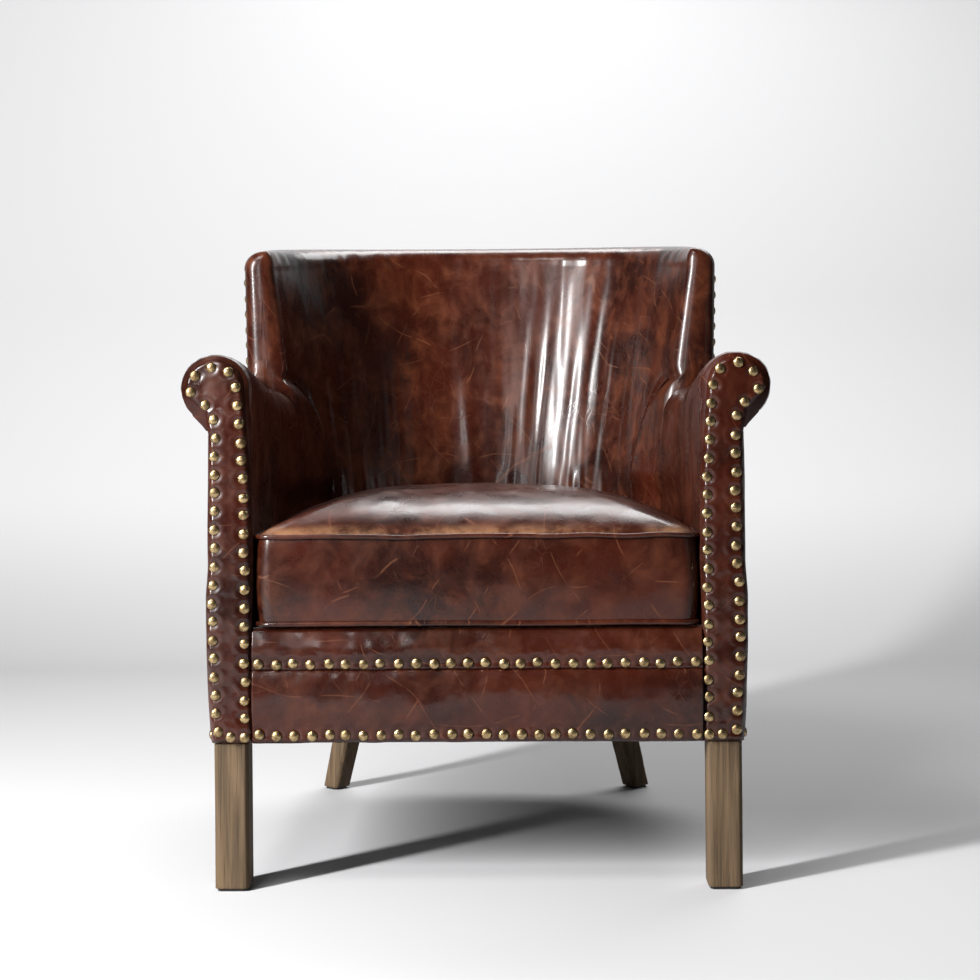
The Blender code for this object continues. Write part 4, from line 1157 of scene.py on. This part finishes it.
def cushion_outline(grow):
    """Plan of the cushion as a dense closed array of (x, y), from the middle of the rear."""
    clear = CUSHION_CLEAR - grow
    sides = np.linspace(0.0, s_at(CUSHION_CORNER), 130)
    right = place(sides, column(sides, SEAT_DEPTH) + clear, 0.0)[:, :2]
    turn = np.radians(np.linspace(4, 90, 14))
    corner_x = SEAT_HALF - clear - CUSHION_CORNER * (1 - np.cos(turn))
    corner_y = FRONT_Y - grow + CUSHION_CORNER * (1 - np.sin(turn))
    front_x = np.linspace(corner_x[-1], 0.0, 60)[1:]
    front_y = np.full(len(front_x), corner_y[-1])
    front = np.stack((np.concatenate((corner_x, front_x)), np.concatenate((corner_y, front_y))), axis=-1)
    half_ring = np.concatenate((right, front))
    other = half_ring[1:-1][::-1] * (-1.0, 1.0)
    return np.concatenate((half_ring, other))


def cushion_side(outline, z, noise):
    """A ring of the cushion's side with its leather's waves."""
    x, y = outline[:, 0], outline[:, 1] - FRONT_Y
    body = np.sin(np.pi * np.clip((z - CUSHION_BASE) / (CUSHION_SEAM - CUSHION_BASE), 0, 1)) ** 0.8
    run = x * 13 + y * 9
    swell = body * (SIDE_WAVE * noise(run, z * 16) + SIDE_RIPPLE * noise(run * 3.4, z * 40))
    away = np.stack((x, y - CUSHION_MIDDLE_Y), axis=-1)
    away /= np.linalg.norm(away, axis=1)[:, None]
    out = outline + away * np.minimum(swell, SIDE_WAVE_LIMIT)[:, None]
    return np.column_stack((out, np.full(len(out), z)))


def cushion_top(outline, z, noise):
    """A ring of the cushion's crown with its waves and its pulled front corners."""
    x, y = outline[:, 0], outline[:, 1] - FRONT_Y
    share = np.clip((z - CUSHION_SEAM) / CROWN, 0.0, 1.0)
    heights = z + share * (CROWN_WAVE * noise(x * 14, y * 12) + CROWN_RIPPLE * noise(x * 45, y * 40))
    pull = hump(np.abs(x), SEAT_HALF, 0.10) * hump(y, 0.0, 0.16)
    heights -= CORNER_PULL * pull * share
    heights += SEAM_PUCKER * hump(heights, CUSHION_SEAM + 0.008, 0.008) * noise(x * 60, y * 60)
    return np.column_stack((outline, heights))


def make_cushion():
    """Loose box cushion: bulging sides, a crowned top and a welt round each seam."""
    noise = Noise(81)
    rings = [cushion_side(cushion_outline(-BASE_IN), CUSHION_BASE, noise)]
    for t in np.linspace(0.0, 1.0, SIDE_RINGS):
        outline = cushion_outline(SIDE_BULGE * math.sin(math.pi * t) ** 0.7 - SIDE_IN)
        rings.append(cushion_side(outline, mix(CUSHION_BASE + 0.003, CUSHION_SEAM, t), noise))
    rim = cushion_outline(-SIDE_IN)
    centre = np.array((0.0, FRONT_Y + CUSHION_MIDDLE_Y))
    for index, share in enumerate(1.0 - np.linspace(0.0, 1.0, CROWN_RINGS)[1:-1] ** 1.25):
        height = CROWN * (1 - share ** 3.0) ** 0.80 * CROWN_LEVEL
        ring = cushion_side if index == 0 else cushion_top
        rings.append(ring(mix(centre, rim, share), CUSHION_SEAM + height, noise))
    padded_skin("cushion_leather", rings, LEATHER_CUSHION, ("seat_cushion",))
    make_welt("cushion_welt_top", CUSHION_SEAM - 0.0005, WELT_WAVER, 91)
    make_welt("cushion_welt_bottom", CUSHION_BASE + 0.0045, WELT_WAVER * 0.4, 92)


def make_welt(name, z, waver, seed):
    """Piping round a seam of the cushion, a little uneven."""
    noise = Noise(seed)
    path = [(x, y, z + waver * float(noise(x * 22, y * 22))) for x, y in cushion_outline(WELT_OUT)]
    welt = tube(name, path, WELT_RADIUS, LEATHER_EDGE, closed=True, sides=12)
    finish_piece(welt)


# Legs

LEG_VOXEL = 0.0018
GRAIN_DEPTH = 0.00035


def make_legs():
    """Brushed wooden legs with rounded arrises and open grain, over the plain ones."""
    for end in ("front_right", "front_left", "rear_right", "rear_left"):
        node = f"leg_{end}"
        obj = linked(f"leg_wood_{end}", frame["nodes"][node].data.copy(), OAK)
        remeshed(obj, LEG_VOXEL)
        points = get_points(obj)
        noise = Noise(100 + len(end) + ord(end[-1]))
        low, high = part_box(node)
        away = points[:, :2] - (np.array(low) + np.array(high))[:2] / 2
        away /= np.maximum(np.linalg.norm(away, axis=1), 1e-6)[:, None]
        grain = noise(points[:, 0] * 330 + points[:, 1] * 250, points[:, 2] * 11)
        points[:, :2] -= away * (GRAIN_DEPTH * (1.0 + grain))[:, None]
        set_points(obj, points)
        finish_piece(obj, (node,))


# Dust cover

SAG = 0.0035
SAG_WAVE = 0.0012
SAG_RUN = 0.16
SAG_FROM_Y = 0.05
SAG_TO_Y = 0.56


def make_dust_cover():
    """Black cloth under the frame: stretched between the rails, with a slight sag."""
    body = bmesh.new()
    body.from_mesh(frame["nodes"]["dust_cover"].data)
    bmesh.ops.delete(body, geom=[face for face in body.faces if face.normal.z > -0.5], context="FACES")
    bmesh.ops.triangulate(body, faces=body.faces[:])
    bmesh.ops.subdivide_edges(body, edges=body.edges[:], cuts=7, use_grid_fill=True)
    noise = Noise(140)
    for vertex in body.verts:
        x, y = vertex.co.x, vertex.co.y - FRONT_Y
        edges = (SEAT_HALF - abs(x), y - SAG_FROM_Y, SAG_TO_Y - y)
        near = math.prod(float(smooth(edge / SAG_RUN)) for edge in edges)
        vertex.co.z -= near * (SAG + SAG_WAVE * float(noise(x * 16, y * 16)))
    mesh = bpy.data.meshes.new("dust_cover_cloth")
    body.to_mesh(mesh)
    flat_area = sum(face.calc_area() for face in body.faces)
    body.free()
    mesh.shade_smooth()
    obj = linked("dust_cover_cloth", mesh, DUST_CLOTH)
    finish_piece(obj, ("dust_cover",))


# Room and light

PAPER = (0.65, 0.65, 0.66)
PAPER_BOUNCE = (0.22, 0.22, 0.22)
WALL_GLOW = 0.19
GLOW_TOP = 0.40
FLOOR_FRONT = -2.9
FLOOR_REAR = 1.6
SWEEP_RADIUS = 0.9
WALL_TOP = 5.0
STAGE_HALF = 7.0
WORLD_COLOUR = (0.93, 0.94, 0.96)
WORLD_STRENGTH = 0.035

# Lamps: name, place, target, size, power and, where it isn't white, colour
LAMPS = (
    ("key", (-1.0, -1.35, 2.75), (0.05, 0.1, 0.2), (0.7, 0.7), 25.0, (1.0, 0.99, 0.97)),
    ("strip", (-2.0, -1.95, 1.55), (0.0, 0.1, 0.65), (0.17, 1.4), 168.0),
    ("fill", (2.6, -2.2, 1.3), (0.0, 0.0, 0.4), (0.8, 1.8), 1.2, (0.96, 0.98, 1.0)),
    ("front_strip", (-0.80, -2.75, 1.40), (-0.1, 0.0, 0.55), (0.14, 1.1), 7.0),
    ("back", (0.7, 1.55, 2.6), (0.3, 0.3, 0.0), (2.4, 0.9), 46.0),
)


def studio_paper():
    """Pale paper, shown to the camera and in reflections, that throws little light on the object."""
    n = Nodes("studio_paper")
    path = n.add("ShaderNodeLightPath", {}).outputs
    seen = n.most(n.most(path["Is Camera Ray"], path["Is Glossy Ray"]), path["Is Transmission Ray"])
    glow = n.times(n.times(n.ramp(n.along("Z"), 0.0, GLOW_TOP), seen), WALL_GLOW)
    return n.finish(Base_Color=n.colour(seen, PAPER_BOUNCE, PAPER), Roughness=0.9, Specular_IOR_Level=0.1,
                    Emission_Color=(1.0, 1.0, 1.0), Emission_Strength=glow)


def make_stage():
    """Pale floor that curves up into a backdrop."""
    profile = [(FLOOR_FRONT, 0.0), (FLOOR_REAR, 0.0)]
    for angle in np.radians(range(6, 91, 6)):
        profile.append((FLOOR_REAR + SWEEP_RADIUS * math.sin(angle), SWEEP_RADIUS * (1 - math.cos(angle))))
    profile.append((FLOOR_REAR + SWEEP_RADIUS, WALL_TOP))
    vertices = []
    for x in (-STAGE_HALF, STAGE_HALF):
        vertices += [(x, y, z) for y, z in profile]
    size = len(profile)
    faces = [(i, i + 1, i + 1 + size, i + size) for i in range(size - 1)]
    new_object("backdrop", vertices, faces, studio_paper())


def area_light(name, location, target, size, power, colour=(1.0, 1.0, 1.0)):
    """Rectangular lamp that looks at a point."""
    lamp = bpy.data.lights.new(name, "AREA")
    lamp.shape = "RECTANGLE"
    lamp.size, lamp.size_y = size
    lamp.energy = power
    lamp.color = colour
    obj = bpy.data.objects.new(name, lamp)
    obj.location = location
    obj.rotation_euler = (Vector(target) - Vector(location)).to_track_quat("-Z", "Y").to_euler()
    bpy.context.scene.collection.objects.link(obj)


def make_light():
    """All lamps and a weak pale world."""
    for lamp in LAMPS:
        area_light(*lamp)
    world = bpy.data.worlds.new("studio")
    bpy.context.scene.world = world
    world.use_nodes = True
    background = world.node_tree.nodes["Background"]
    background.inputs["Color"].default_value = (*WORLD_COLOUR, 1.0)
    background.inputs["Strength"].default_value = WORLD_STRENGTH


def make_camera():
    """Camera at the photo's place: level, a little to the right, with a small vertical shift."""
    data = bpy.data.cameras.new("photo_camera")
    data.lens = CAMERA_LENS
    data.sensor_width = CAMERA_SENSOR
    data.shift_y = (HORIZON_PIXEL - PHOTO_PIXELS / 2) / PHOTO_PIXELS
    camera = bpy.data.objects.new("photo_camera", data)
    turn = Matrix.Rotation(CAMERA_YAW, 4, "Z") @ Matrix.Rotation(math.pi / 2, 4, "X")
    turn = turn @ Matrix.Rotation(CAMERA_ROLL, 4, "Z")
    camera.matrix_world = Matrix.Translation((CAMERA_X, FRONT_Y - CAMERA_TO_FRONT, CAMERA_Z)) @ turn
    bpy.context.scene.collection.objects.link(camera)
    bpy.context.scene.camera = camera


def finish_nodes():
    """Finishes of the frame's own nodes that stay in sight."""
    looks = {
        "glide_plastic": plain("glide_plastic", (0.035, 0.030, 0.028), 0.55),
        "frame_beech": wood("frame_beech", *BEECH_TONES),
        "webbing": plain("jute_webbing", (0.40, 0.31, 0.19), 0.9, 700.0),
        "deck_felt": plain("deck_felt", (0.36, 0.33, 0.29), 0.95, 500.0),
        "bolt_steel": plain("bolt_steel", (0.50, 0.50, 0.51), 0.35, 900.0, 0.0001, 1.0),
    }
    slots = {part["node"]: part["material_slot"] for part in frame["record"]["subparts"]}
    for node, obj in frame["nodes"].items():
        look = looks.get(slots.get(node))
        if look is not None:
            obj.data.materials.clear()
            obj.data.materials.append(look)


make_camera()
for side, label, seed in ((1, "right", 21), (-1, "left", 31)):
    make_facing(side, label, seed)
    make_arm(side, label, seed + 5)
    make_tail(side, label)
    make_arm_seam(side, label)
make_front()
make_back()
for side, label, seed in ((1, "right", 61), (-1, "left", 62)):
    make_side_covers(side, label, seed)
make_back_cover()
make_cushion()
make_legs()
make_dust_cover()
finish_nodes()
make_stage()
make_light()
bpy.context.scene.view_settings.view_transform = "Standard"
